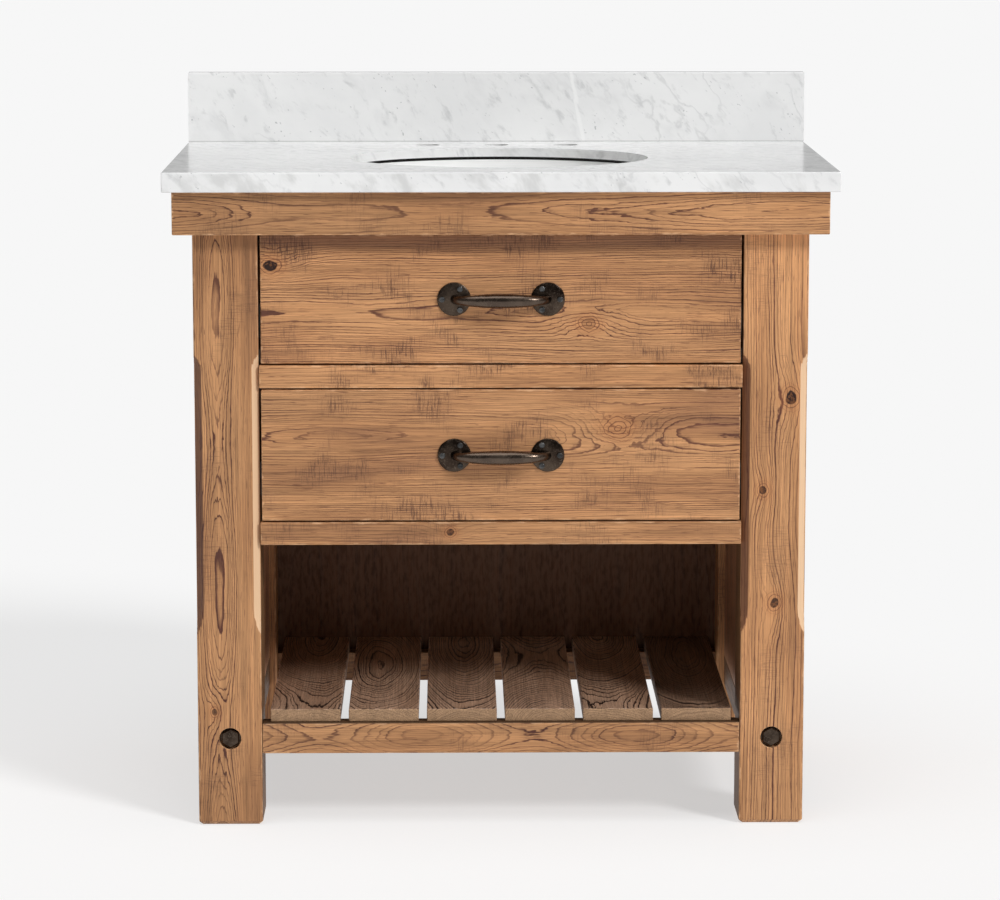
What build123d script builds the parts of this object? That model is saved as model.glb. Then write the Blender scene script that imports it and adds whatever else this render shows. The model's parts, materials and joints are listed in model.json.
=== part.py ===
from build123d import *
import os
from math import cos, radians, sin, sqrt

# Bathroom vanity cabinet with a stone top, two drawers and an open slatted shelf.
# Millimetres. X to the right, Y towards the wall, Z up.
# Origin: on the floor, under the centre of the stone top.

# ---------------------------------------------------------------- driving sizes
# Stone
TOP_WIDTH = 914.4
TOP_DEPTH = 571.5
TOP_THICKNESS = 27.0
SLAB_THICKNESS = 12.7
BUILT_UP_EDGE = 50.0
STONE_EDGE = 1.5
FRONT_OVERHANG = 12.7
REAR_OVERHANG = 6.0
BACKSPLASH_HEIGHT = 103.0
BACKSPLASH_THICKNESS = 19.0

# Sink and faucet
CUTOUT_WIDTH = 420.0
CUTOUT_DEPTH = 350.0
SINK_FROM_FRONT = 258.0
BOWL_REVEAL = 3.0
BOWL_WALL = 9.0
BOWL_FLANGE = 22.0
BOWL_FLANGE_THICKNESS = 10.0
BOWL_DEPTH = 150.0
BOWL_FLOOR_THICKNESS = 14.0
BOWL_CORNER = 95.0
BOWL_GROOVE = 3.5
BOWL_GROOVE_WIDTH = 12.0
DRAIN_RADIUS = 22.2
FAUCET_RADIUS = 17.5
FAUCET_SPACING = 101.6
FAUCET_FROM_BACK = 80.5

# Frame
CABINET_HEIGHT = 882.5
LEG_SIZE = 88.9
FOOT_BEVEL = 6.0
APRON_HEIGHT = 58.8
APRON_THICKNESS = 25.4
RAIL_RECESS = 1.0
TOP_RAIL_THICKNESS = 20.0
MIDDLE_RAIL_HEIGHT = 31.3
LOWER_RAIL_HEIGHT = 31.7
DIVIDER_DEPTH = 50.0
BOTTOM_RAIL_CLEARANCE = 101.0
BOTTOM_RAIL_HEIGHT = 43.0
BOTTOM_RAIL_THICKNESS = 30.0
TENON_SHOULDER = 6.0
TENON_CLEARANCE = 0.15
TENON_WALL = 4.15

# Stopped chamfers on the front legs
CHAMFER_WIDTH = 10.3
CHAMFER_TOP = 659.0
CHAMFER_BOTTOM = 267.0
CHAMFER_RUNOUT_TOP = 25.0
CHAMFER_RUNOUT_BOTTOM = 42.0

# Sides and back
SIDE_INSET = 10.4
SIDE_PANEL_THICKNESS = 15.0
LINING_THICKNESS = 12.0
BACK_PANEL_THICKNESS = 12.0
BACK_PANEL_INSET = 15.5
BACK_PANEL_GROOVE = 8.0
PLUMBING_WIDTH = 320.0
PLUMBING_HEIGHT = 250.0
PLUMBING_BOTTOM = 490.0
WALL_FIXING_SPACING = 406.4
WALL_FIXING_RADIUS = 3.5

# Shelf
SLAT_COUNT = 6
SLAT_THICKNESS = 18.0
SLAT_GAP = 11.0
SLAT_RECESS = 9.0
SLAT_SCREW_RADIUS = 2.2
SLAT_SCREW_HEAD_RADIUS = 4.2
SLAT_SCREW_HEAD = 3.0
SLAT_SCREW_BITE = 12.0
SLAT_SCREW_FROM_END = 11.0

# Frame bolts
BOLT_RADIUS = 5.0
BOLT_HOLE_CLEARANCE = 0.3
BOLT_HEAD_ACROSS_FLATS = 23.8
BOLT_HEAD_HEIGHT = 8.5
BOLT_HEAD_BEVEL = 1.4
COUNTERBORE_RADIUS = 15.3
COUNTERBORE_DEPTH = 12.0
WASHER_RADIUS = 14.0
WASHER_THICKNESS = 2.0
BOLT_BITE = 60.0
BARREL_RADIUS = 8.0
BARREL_LENGTH = 30.0

# Drawers
DRAWER_GAP = 2.0
DRAWER_SIDE_GAP = 2.4
UPPER_FRONT_HEIGHT = 176.8
LOWER_FRONT_HEIGHT = 181.6
UPPER_FRONT_RECESS = 5.0
LOWER_FRONT_RECESS = 2.0
DRAWER_FRONT_THICKNESS = 19.0
BOX_BOARD = 12.7
BOX_HEIGHT = 140.0
BOX_LIFT = 14.0
BOX_REAR_CLEARANCE = 26.0
BOX_BOTTOM_THICKNESS = 6.0
BOX_BOTTOM_LIFT = 10.0
BOWL_CLEARANCE = 6.0
NOTCH_WIDTH = 200.0
NOTCH_BEHIND_DRAIN = 37.0

# Telescopic slides, measured inwards from the leg
SLIDE_SPACE = 12.7
SLIDE_HEIGHT = 46.0
SLIDE_SHEET = 1.2
SLIDE_RACE_GAP = 1.4
SLIDE_LIFT = 42.0
SLIDE_FLANGE = 7.6
BATTEN_HEIGHT = 60.0

# Corner blocks and sink clips
CORNER_BLOCK_SIZE = 45.0
CORNER_BLOCK_HEIGHT = 25.0
CLIP_WIDTH = 20.0
CLIP_LAP = 10.0
CLIP_REACH = 22.0
CLIP_FOOT = 4.0
CLIP_SHEET = 2.0
CLIP_ANGLES = (35.0, 145.0, 215.0, 325.0)
STUD_RADIUS = 3.0
STUD_BITE = 8.0
STUD_TAIL = 14.0
STUD_NUT_ACROSS_FLATS = 10.0
STUD_NUT_HEIGHT = 5.0

# Handles
HANDLE_CENTRES = 128.0
ROSETTE_RADIUS = 23.5
ROSETTE_EDGE = 2.6
ROSETTE_DOME = 4.6
BAR_END_RADIUS = 6.5
BAR_MIDDLE_RADIUS = 9.8
BAR_STANDOFF = 25.0
BAR_BEND = 17.0
SCREW_CIRCLE = 16.5
SCREW_SHANK_RADIUS = 1.8
SCREW_HEAD_RADIUS = 4.0
SCREW_HEAD_HEIGHT = 2.0
SCREW_SLOT = 1.1
SCREW_BITE = 13.0
SCREW_CLEARANCE = 0.2

# ---------------------------------------------------------------- derived places
SIDES = {"left": -1, "right": 1}
TOP_FRONT = -TOP_DEPTH / 2
TOP_BACK = TOP_DEPTH / 2
TOP_SURFACE = CABINET_HEIGHT + TOP_THICKNESS
SLAB_UNDERSIDE = TOP_SURFACE - SLAB_THICKNESS

APRON_OUTER_X = TOP_WIDTH / 2 - FRONT_OVERHANG
LEG_OUTER_X = APRON_OUTER_X - APRON_THICKNESS
LEG_INNER_X = LEG_OUTER_X - LEG_SIZE
LEG_CENTRE_X = (LEG_OUTER_X + LEG_INNER_X) / 2
TENON_LENGTH = LEG_SIZE / 2 - COUNTERBORE_RADIUS - TENON_WALL
FRAME_FRONT = TOP_FRONT + FRONT_OVERHANG + APRON_THICKNESS
FRAME_BACK = TOP_BACK - REAR_OVERHANG
SIDE_SPAN_Y = (FRAME_FRONT + LEG_SIZE, FRAME_BACK - LEG_SIZE)
RAIL_FRONT = FRAME_FRONT + RAIL_RECESS
BACK_PANEL_BACK = FRAME_BACK - BACK_PANEL_INSET
BACK_PANEL_FRONT = BACK_PANEL_BACK - BACK_PANEL_THICKNESS

# Heights, from the stone downwards, and from the floor upwards
APRON_BOTTOM = CABINET_HEIGHT - APRON_HEIGHT
UPPER_FRONT_Z = (APRON_BOTTOM - DRAWER_GAP - UPPER_FRONT_HEIGHT, APRON_BOTTOM - DRAWER_GAP)
MIDDLE_RAIL_TOP = UPPER_FRONT_Z[0] - DRAWER_GAP
MIDDLE_RAIL_Z = (MIDDLE_RAIL_TOP - MIDDLE_RAIL_HEIGHT, MIDDLE_RAIL_TOP)
LOWER_FRONT_TOP = MIDDLE_RAIL_Z[0] - DRAWER_GAP
LOWER_FRONT_Z = (LOWER_FRONT_TOP - LOWER_FRONT_HEIGHT, LOWER_FRONT_TOP)
LOWER_RAIL_TOP = LOWER_FRONT_Z[0] - DRAWER_GAP
LOWER_RAIL_Z = (LOWER_RAIL_TOP - LOWER_RAIL_HEIGHT, LOWER_RAIL_TOP)
BOTTOM_RAIL_Z = (BOTTOM_RAIL_CLEARANCE, BOTTOM_RAIL_CLEARANCE + BOTTOM_RAIL_HEIGHT)
SHELF_TOP = BOTTOM_RAIL_Z[1] + SLAT_THICKNESS
BOLT_Z = sum(BOTTOM_RAIL_Z) / 2

SINK_Y = TOP_FRONT + SINK_FROM_FRONT
SINK_ASPECT = CUTOUT_DEPTH / CUTOUT_WIDTH
BOWL_INNER_X = CUTOUT_WIDTH / 2 + BOWL_REVEAL
BOWL_OUTER_X = BOWL_INNER_X + BOWL_WALL
FLANGE_X = BOWL_OUTER_X + BOWL_FLANGE - BOWL_WALL
FAUCET_Y = TOP_BACK - FAUCET_FROM_BACK

BOX_OUTER_X = LEG_INNER_X - SLIDE_SPACE
BOX_INNER_X = BOX_OUTER_X - BOX_BOARD
BOX_REAR = BACK_PANEL_FRONT - BOX_REAR_CLEARANCE

# Rails across the cabinet: (front and back face in Y, bottom and top in Z)
CROSS_RAILS = {
    "front_top_rail": ((FRAME_FRONT, FRAME_FRONT + TOP_RAIL_THICKNESS), (APRON_BOTTOM, CABINET_HEIGHT)),
    "rear_top_rail": ((BACK_PANEL_FRONT, BACK_PANEL_FRONT + APRON_THICKNESS), (APRON_BOTTOM, CABINET_HEIGHT)),
    "middle_rail": ((RAIL_FRONT, RAIL_FRONT + DIVIDER_DEPTH), MIDDLE_RAIL_Z),
    "lower_rail": ((RAIL_FRONT, RAIL_FRONT + DIVIDER_DEPTH), LOWER_RAIL_Z),
    "bottom_rail_front": ((RAIL_FRONT, RAIL_FRONT + BOTTOM_RAIL_THICKNESS), BOTTOM_RAIL_Z),
    "bottom_rail_rear": ((BACK_PANEL_FRONT - BOTTOM_RAIL_THICKNESS, BACK_PANEL_FRONT), BOTTOM_RAIL_Z),
}

nodes = {}


# ---------------------------------------------------------------- helpers
def block(x, y, z):
    """A box between two values on each axis, given in any order."""
    (x0, x1), (y0, y1), (z0, z1) = sorted(x), sorted(y), sorted(z)
    corner = (Align.MIN, Align.MIN, Align.MIN)
    return Pos(x0, y0, z0) * Box(x1 - x0, y1 - y0, z1 - z0, align=corner)


def grown(span, amount):
    """A (low, high) pair, moved outwards by amount at each end."""
    return (span[0] - amount, span[1] + amount)


def both(value):
    """The span from -value to +value."""
    return (-value, value)


def rod(radius, start, end):
    """A round rod between two points on a line parallel to an axis."""
    along = Vector(*end) - Vector(*start)
    return extrude(Plane(origin=start, z_dir=along) * Circle(radius), along.length)


def hex_prism(across_flats, start, end):
    """A hexagonal prism between two points, with flats at its sides."""
    along = Vector(*end) - Vector(*start)
    outline = RegularPolygon(across_flats / 2, 6, major_radius=False)
    return extrude(Plane(origin=start, z_dir=along) * outline, along.length)


def keep(name, *solids):
    """Files one node, of one solid or of a group of separate solids."""
    nodes[name] = solids[0] if len(solids) == 1 else Compound(children=list(solids))


# ---------------------------------------------------------------- frame
def tenons(span_y, span_z, clearance=0.0):
    """The two end tenons of a rail across the cabinet, or their mortises with a clearance."""
    ty = grown(span_y, clearance - TENON_SHOULDER)
    tz = grown(span_z, clearance - TENON_SHOULDER)
    reach = LEG_INNER_X + TENON_LENGTH + clearance
    return [block((side * LEG_INNER_X, side * reach), ty, tz) for side in SIDES.values()]


def cross_rail(span_y, span_z):
    rail = block(both(LEG_INNER_X), span_y, span_z)
    for tenon in tenons(span_y, span_z):
        rail += tenon
    return rail


def stopped_chamfer(edge_x, outward):
    """Cutter for one front edge of a leg, with a curved run-out at each end.

    Its outline is drawn in the plane of the edge and the diagonal, and is extruded across it.
    """
    depth = CHAMFER_WIDTH / sqrt(2)
    beyond = -depth
    low, high = CHAMFER_BOTTOM, CHAMFER_TOP
    low_full, high_full = low + CHAMFER_RUNOUT_BOTTOM, high - CHAMFER_RUNOUT_TOP
    outline = [
        Line((beyond, low), (0, low)),
        TangentArc((depth, low_full), (0, low), tangent=(0, -1)),
        Line((depth, low_full), (depth, high_full)),
        TangentArc((depth, high_full), (0, high), tangent=(0, 1)),
        Line((0, high), (beyond, high)),
        Line((beyond, high), (beyond, low)),
    ]
    inward = Vector(-outward, 1, 0).normalized()
    plane = Plane(origin=(edge_x, FRAME_FRONT, 0), x_dir=inward, z_dir=inward.cross(Vector(0, 0, 1)))
    return extrude(plane * make_face(Curve() + outline), 2 * CHAMFER_WIDTH, both=True)


def bolt_axis(side, face_y, inward):
    """A function from a depth behind the leg's end face to a point on the bolt's axis."""
    return lambda depth: (side * LEG_CENTRE_X, face_y + inward * depth, BOLT_Z)


def bolt_cut(at, radius=BOLT_RADIUS + BOLT_HOLE_CLEARANCE):
    shank = rod(radius, at(0), at(LEG_SIZE + BOLT_BITE))
    return shank + rod(COUNTERBORE_RADIUS, at(0), at(COUNTERBORE_DEPTH))


def bolt_set(at):
    """One frame bolt with its washer and its barrel nut."""
    seat = COUNTERBORE_DEPTH
    washer = rod(WASHER_RADIUS, at(seat), at(seat - WASHER_THICKNESS))
    washer -= rod(BOLT_RADIUS + BOLT_HOLE_CLEARANCE, at(seat), at(seat - WASHER_THICKNESS))
    head_seat = seat - WASHER_THICKNESS
    head = hex_prism(BOLT_HEAD_ACROSS_FLATS, at(head_seat), at(head_seat - BOLT_HEAD_HEIGHT))
    crown = head.faces().sort_by(Axis.Y)[0 if at(1)[1] > at(0)[1] else -1]
    head = chamfer(crown.edges(), BOLT_HEAD_BEVEL)
    tip = LEG_SIZE + BOLT_BITE
    barrel_depth = tip - BARREL_RADIUS - BOLT_RADIUS
    bolt = head + rod(BOLT_RADIUS, at(head_seat), at(tip))
    x, y, z = at(barrel_depth)
    barrel = rod(BARREL_RADIUS, (x, y, z - BARREL_LENGTH / 2), (x, y, z + BARREL_LENGTH / 2))
    pocket = rod(BARREL_RADIUS, (x, y, BOTTOM_RAIL_Z[0]), (x, y, z + BARREL_LENGTH / 2))
    barrel -= rod(BOLT_RADIUS, at(head_seat), at(tip))
    return bolt, washer, barrel, pocket


def frame_bolts():
    """All bolts, and what each side rail is cut with."""
    bolts, washers, barrels = [], [], []
    cuts = {side: [] for side in SIDES}
    axes = {}
    for name, side in SIDES.items():
        for end, face_y, inward in (("front", FRAME_FRONT, 1), ("rear", FRAME_BACK, -1)):
            at = bolt_axis(side, face_y, inward)
            bolt, washer, barrel, pocket = bolt_set(at)
            bolts.append(bolt)
            washers.append(washer)
            barrels.append(barrel)
            cuts[name] += [pocket, bolt_cut(at)]
            axes[end, name] = at
    keep("frame_bolts", *bolts)
    keep("bolt_washers", *washers)
    keep("barrel_nuts", *barrels)
    return cuts, axes


def leg(side, end, at):
    front = end == "front"
    y = (FRAME_FRONT, FRAME_FRONT + LEG_SIZE) if front else (FRAME_BACK - LEG_SIZE, FRAME_BACK)
    post = block((side * LEG_INNER_X, side * LEG_OUTER_X), y, (0, CABINET_HEIGHT))
    post = chamfer(post.faces().sort_by(Axis.Z)[0].edges(), FOOT_BEVEL)
    for span_y, span_z in CROSS_RAILS.values():
        for mortise in tenons(span_y, span_z, TENON_CLEARANCE):
            post -= mortise
    post -= bolt_cut(at)
    if front:
        post -= stopped_chamfer(side * LEG_INNER_X, -side)
        post -= stopped_chamfer(side * LEG_OUTER_X, side)
    else:
        post -= back_panel_blank(TENON_CLEARANCE)
    return post


def back_panel_blank(clearance=0.0):
    """The back panel before its plumbing opening, or its groove with a clearance."""
    x = LEG_INNER_X + BACK_PANEL_GROOVE + clearance
    y = grown((BACK_PANEL_FRONT, BACK_PANEL_BACK), clearance)
    return block(both(x), y, (BOLT_Z, APRON_BOTTOM))


def frame():
    cuts, axes = frame_bolts()
    for end in ("front", "rear"):
        for name, side in SIDES.items():
            keep(f"leg_{end}_{name}", leg(side, end, axes[end, name]))
    for name, (span_y, span_z) in CROSS_RAILS.items():
        rail = cross_rail(span_y, span_z)
        if name.startswith("bottom_rail"):
            for x in slat_centres():
                rail -= slat_screw(x, slat_screw_y(name))
        if name == "rear_top_rail":
            rail -= wall_fixing_holes(span_y, span_z)
        keep(name, rail)
    rail_x = (LEG_INNER_X + SIDE_INSET, LEG_OUTER_X - SIDE_INSET)
    for name, side in SIDES.items():
        rail = block([side * x for x in rail_x], SIDE_SPAN_Y, BOTTOM_RAIL_Z)
        for cut in cuts[name]:
            rail -= cut
        keep(f"bottom_rail_{name}", rail)


def wall_fixing_holes(span_y, span_z):
    z = sum(span_z) / 2
    x = WALL_FIXING_SPACING / 2
    return [rod(WALL_FIXING_RADIUS, (s * x, span_y[0], z), (s * x, span_y[1], z)) for s in (-1, 1)]


def aprons():
    z = (APRON_BOTTOM, CABINET_HEIGHT)
    keep("apron_front", block(both(APRON_OUTER_X), (FRAME_FRONT - APRON_THICKNESS, FRAME_FRONT), z))
    for name, side in SIDES.items():
        x = (side * LEG_OUTER_X, side * APRON_OUTER_X)
        keep(f"apron_{name}", block(x, (FRAME_FRONT, FRAME_BACK), z))


def sides_and_back():
    z = (BOTTOM_RAIL_Z[1], CABINET_HEIGHT)
    outer = LEG_OUTER_X - SIDE_INSET
    inner = LEG_INNER_X + SIDE_INSET
    for name, side in SIDES.items():
        panel = block((side * (outer - SIDE_PANEL_THICKNESS), side * outer), SIDE_SPAN_Y, z)
        lining = block((side * inner, side * (inner + LINING_THICKNESS)), SIDE_SPAN_Y, z)
        keep(f"side_panel_{name}", panel)
        keep(f"side_lining_{name}", lining)
    opening_z = (PLUMBING_BOTTOM, PLUMBING_BOTTOM + PLUMBING_HEIGHT)
    opening = block(both(PLUMBING_WIDTH / 2), (BACK_PANEL_FRONT, BACK_PANEL_BACK), opening_z)
    keep("back_panel", back_panel_blank() - opening)


def corner_blocks():
    """Triangular blocks under the stone, glued to a top rail and a leg."""
    size = CORNER_BLOCK_SIZE
    rails = ((FRAME_FRONT + TOP_RAIL_THICKNESS, 1), (BACK_PANEL_FRONT, -1))
    blocks = []
    for side in SIDES.values():
        for y, inward in rails:
            x = side * LEG_INNER_X
            corner = Polyline((x, y), (x - side * size, y), (x, y + inward * size), close=True)
            face = Pos(0, 0, CABINET_HEIGHT - CORNER_BLOCK_HEIGHT) * make_face(corner)
            blocks.append(extrude(face, CORNER_BLOCK_HEIGHT, dir=(0, 0, 1)))
    keep("corner_blocks", *blocks)


# ---------------------------------------------------------------- shelf
def slat_width():
    return (2 * LEG_INNER_X - (SLAT_COUNT + 1) * SLAT_GAP) / SLAT_COUNT


def slat_centres():
    pitch = slat_width() + SLAT_GAP
    return [(i - (SLAT_COUNT - 1) / 2) * pitch for i in range(SLAT_COUNT)]


def slat_screw_y(rail):
    if rail == "bottom_rail_front":
        return FRAME_FRONT + SLAT_RECESS + SLAT_SCREW_FROM_END
    return BACK_PANEL_FRONT - SLAT_SCREW_FROM_END


def slat_screw(x, y):
    """A countersunk screw, driven up through a bottom rail into a slat."""
    low = BOTTOM_RAIL_Z[0]
    head = Cone(SLAT_SCREW_HEAD_RADIUS, SLAT_SCREW_RADIUS, SLAT_SCREW_HEAD,
                align=(Align.CENTER, Align.CENTER, Align.MIN))
    shank = rod(SLAT_SCREW_RADIUS, (x, y, low), (x, y, BOTTOM_RAIL_Z[1] + SLAT_SCREW_BITE))
    return Pos(x, y, low) * head + shank


def shelf():
    y = (FRAME_FRONT + SLAT_RECESS, BACK_PANEL_FRONT)
    z = (BOTTOM_RAIL_Z[1], SHELF_TOP)
    screws = []
    for i, x in enumerate(slat_centres()):
        pair = [slat_screw(x, slat_screw_y(rail)) for rail in ("bottom_rail_front", "bottom_rail_rear")]
        half = slat_width() / 2
        keep(f"slat_{i + 1}", block((x - half, x + half), y, z) - pair)
        screws += pair
    keep("slat_screws", *screws)


# ---------------------------------------------------------------- stone and sink
def stone():
    """A thin slab, built up to its full thickness along its four edges, and its backsplash."""
    top = block(both(TOP_WIDTH / 2), (TOP_FRONT, TOP_BACK), (CABINET_HEIGHT, TOP_SURFACE))
    top = fillet(top.edges(), STONE_EDGE)
    inside_y = (TOP_FRONT + BUILT_UP_EDGE, TOP_BACK - BUILT_UP_EDGE)
    top -= block(both(TOP_WIDTH / 2 - BUILT_UP_EDGE), inside_y, (CABINET_HEIGHT, SLAB_UNDERSIDE))
    cutout = Pos(0, SINK_Y, SLAB_UNDERSIDE) * Ellipse(CUTOUT_WIDTH / 2, CUTOUT_DEPTH / 2)
    top -= extrude(cutout, SLAB_THICKNESS)
    for i in (-1, 0, 1):
        x = i * FAUCET_SPACING
        top -= rod(FAUCET_RADIUS, (x, FAUCET_Y, SLAB_UNDERSIDE), (x, FAUCET_Y, TOP_SURFACE))
    for angle in CLIP_ANGLES:
        top -= clip(angle)[1]
    keep("countertop", top)
    splash_y = (TOP_BACK - BACKSPLASH_THICKNESS, TOP_BACK)
    splash = block(both(TOP_WIDTH / 2), splash_y, (TOP_SURFACE, TOP_SURFACE + BACKSPLASH_HEIGHT))
    keep("backsplash", fillet(splash.faces().sort_by(Axis.Z)[-1].edges(), STONE_EDGE))


def bowl():
    """A round bowl turned about Z, drawn out to the cut-out's oval, with a round drain."""
    rim = BOWL_INNER_X
    floor = -BOWL_DEPTH + BOWL_FLOOR_THICKNESS
    seat = rim + BOWL_GROOVE_WIDTH
    inner = [(rim, -BOWL_GROOVE), (rim - BOWL_WALL, floor + BOWL_CORNER), (rim - BOWL_CORNER, floor)]
    outer = [(rim - BOWL_CORNER, -BOWL_DEPTH), (BOWL_OUTER_X - BOWL_WALL, floor + BOWL_CORNER)]
    shoulder = (BOWL_OUTER_X, -BOWL_FLANGE_THICKNESS)
    outline = [
        Line(inner[0], inner[1]),
        TangentArc(inner[1], inner[2], tangent=(inner[1][0] - inner[0][0], inner[1][1] - inner[0][1])),
        Line(inner[2], (0, floor)),
        Line((0, floor), (0, -BOWL_DEPTH)),
        Line((0, -BOWL_DEPTH), outer[0]),
        Spline(outer[0], outer[1], tangents=[(1, 0), (shoulder[0] - outer[1][0], shoulder[1] - outer[1][1])]),
        Line(outer[1], shoulder),
        Line(shoulder, (FLANGE_X, -BOWL_FLANGE_THICKNESS)),
        Line((FLANGE_X, -BOWL_FLANGE_THICKNESS), (FLANGE_X, 0)),
        Line((FLANGE_X, 0), (seat, 0)),
        Line((seat, 0), (seat, -BOWL_GROOVE)),
        Line((seat, -BOWL_GROOVE), inner[0]),
    ]
    turned = revolve(Plane.XZ * make_face(Curve() + outline), Axis.Z)
    oval = scale(turned, by=(1, SINK_ASPECT, 1))
    oval -= rod(DRAIN_RADIUS, (0, 0, -BOWL_DEPTH), (0, 0, 0))
    return Pos(0, SINK_Y, SLAB_UNDERSIDE) * oval


def clip(angle):
    """One sink clip with its stud and nut, outside the flange at this angle."""
    x = FLANGE_X * cos(radians(angle))
    y = SINK_Y + FLANGE_X * SINK_ASPECT * sin(radians(angle))
    turn = Pos(x, y, SLAB_UNDERSIDE) * Rot(0, 0, angle)
    top = -BOWL_FLANGE_THICKNESS
    plate = block((-CLIP_LAP, CLIP_REACH), both(CLIP_WIDTH / 2), (top - CLIP_SHEET, top))
    foot = block((CLIP_REACH - CLIP_FOOT, CLIP_REACH), both(CLIP_WIDTH / 2), (top - CLIP_SHEET, 0))
    stud_x = (CLIP_REACH - CLIP_FOOT) / 2
    stud = rod(STUD_RADIUS, (stud_x, 0, top - CLIP_SHEET - STUD_TAIL), (stud_x, 0, STUD_BITE))
    under = top - CLIP_SHEET
    nut = hex_prism(STUD_NUT_ACROSS_FLATS, (stud_x, 0, under), (stud_x, 0, under - STUD_NUT_HEIGHT))
    return turn * (plate + foot - stud), turn * stud, turn * (nut - stud)


def sink():
    keep("sink_bowl", bowl())
    keep("sink_clips", *[piece for angle in CLIP_ANGLES for piece in clip(angle)])


# ---------------------------------------------------------------- slides
def slide_section(side, web, tip, height, sheet):
    """A channel's outline in X and Z: its web at one distance from the leg, its flange tips at another."""
    def at(u, z):
        return (side * (LEG_INNER_X - u), z)
    inside = web + sheet if tip > web else web - sheet
    half = height / 2
    return [at(web, half), at(tip, half), at(tip, half - sheet), at(inside, half - sheet),
            at(inside, sheet - half), at(tip, sheet - half), at(tip, -half), at(web, -half)]


def slide_members(z, front):
    """The outer, middle and inner members of a drawer's two slides."""
    step = SLIDE_SHEET + SLIDE_RACE_GAP
    heights = [SLIDE_HEIGHT - 2 * step * i for i in range(3)]
    channels = [(0, SLIDE_FLANGE), (step, step + SLIDE_FLANGE), (SLIDE_SPACE, 2 * step)]
    members = []
    for (web, tip), height in zip(channels, heights):
        pair = []
        for side in SIDES.values():
            outline = slide_section(side, web, tip, height, SLIDE_SHEET)
            face = Plane.XZ * make_face(Polyline(*outline, close=True))
            pair.append(Pos(0, front, z) * extrude(face, BOX_REAR - front, dir=(0, 1, 0)))
        members.append(pair)
    return members


def batten(side, z):
    x = (side * LEG_INNER_X, side * (LEG_INNER_X + SIDE_INSET))
    return block(x, SIDE_SPAN_Y, (z - BATTEN_HEIGHT / 2, z + BATTEN_HEIGHT / 2))


def slides():
    battens = []
    for drawer, front_z, recess in DRAWERS:
        z = front_z[0] + BOX_LIFT + SLIDE_LIFT
        outer, middle, inner = slide_members(z, box_front_y(recess))
        keep(f"slide_outer_{drawer}", *outer)
        keep(f"slide_middle_{drawer}", *middle)
        keep(f"slide_inner_{drawer}", *inner)
        battens += [batten(side, z) for side in SIDES.values()]
    keep("runner_battens", *battens)


# ---------------------------------------------------------------- drawers
DRAWERS = (
    ("upper", UPPER_FRONT_Z, UPPER_FRONT_RECESS),
    ("lower", LOWER_FRONT_Z, LOWER_FRONT_RECESS),
)


def box_front_y(recess):
    """Where a drawer's box begins, at the back of its front."""
    return FRAME_FRONT + recess + DRAWER_FRONT_THICKNESS


def box_z(front_z):
    return (front_z[0] + BOX_LIFT, front_z[0] + BOX_LIFT + BOX_HEIGHT)


def bottom_z(front_z):
    low = front_z[0] + BOX_LIFT + BOX_BOTTOM_LIFT
    return (low, low + BOX_BOTTOM_THICKNESS)


def drawer_fronts():
    for drawer, front_z, recess in DRAWERS:
        x = both(LEG_INNER_X - DRAWER_SIDE_GAP)
        face = FRAME_FRONT + recess
        centre_z = sum(front_z) / 2
        panel = block(x, (face, face + DRAWER_FRONT_THICKNESS), front_z)
        screws = [Pos(0, face, centre_z) * screw for screw in handle_screws()]
        keep(f"{drawer}_drawer_front", panel - screws)
        keep(f"{drawer}_handle", Pos(0, face, centre_z) * handle())
        keep(f"{drawer}_handle_screws", *screws)


def box_shell(drawer, front_z, recess):
    """A box's front board and outer sides. Returns where the boards inside it run in Y."""
    y0 = box_front_y(recess)
    z = box_z(front_z)
    keep(f"{drawer}_box_front", block(both(BOX_OUTER_X), (y0, y0 + BOX_BOARD), z))
    for name, side in SIDES.items():
        x = (side * BOX_INNER_X, side * BOX_OUTER_X)
        keep(f"{drawer}_box_side_{name}", block(x, (y0 + BOX_BOARD, BOX_REAR), z))
    return (y0 + BOX_BOARD, BOX_REAR)


def upper_box():
    """Two bins, one each side of the bowl, joined by the box front."""
    y = box_shell("upper", UPPER_FRONT_Z, UPPER_FRONT_RECESS)
    z = box_z(UPPER_FRONT_Z)
    near = BOWL_OUTER_X + BOWL_CLEARANCE
    inner_sides, backs, bottoms = [], [], []
    for side in SIDES.values():
        bin_x = (side * (near + BOX_BOARD), side * BOX_INNER_X)
        inner_sides.append(block((side * near, side * (near + BOX_BOARD)), y, z))
        backs.append(block(bin_x, (BOX_REAR - BOX_BOARD, BOX_REAR), z))
        bottoms.append(block(bin_x, (y[0], BOX_REAR - BOX_BOARD), bottom_z(UPPER_FRONT_Z)))
    keep("upper_box_inner_sides", *inner_sides)
    keep("upper_box_backs", *backs)
    keep("upper_box_bottoms", *bottoms)


def lower_box():
    """A full-width box with a notch at its rear for the drain pipe."""
    y = box_shell("lower", LOWER_FRONT_Z, LOWER_FRONT_RECESS)
    z = box_z(LOWER_FRONT_Z)
    notch_front = SINK_Y - NOTCH_BEHIND_DRAIN
    wall_x = (NOTCH_WIDTH / 2, NOTCH_WIDTH / 2 + BOX_BOARD)
    cross_y = (notch_front - BOX_BOARD, notch_front)
    notch = [block(both(wall_x[1]), cross_y, z)]
    backs = []
    for side in SIDES.values():
        notch.append(block([side * x for x in wall_x], (notch_front, BOX_REAR), z))
        backs.append(block((side * wall_x[1], side * BOX_INNER_X), (BOX_REAR - BOX_BOARD, BOX_REAR), z))
    keep("lower_box_notch", *notch)
    keep("lower_box_backs", *backs)
    floor = block(both(BOX_INNER_X), (y[0], BOX_REAR - BOX_BOARD), bottom_z(LOWER_FRONT_Z))
    floor -= block(both(wall_x[1]), (cross_y[0], BOX_REAR), bottom_z(LOWER_FRONT_Z))
    keep("lower_box_bottom", floor)


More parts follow.
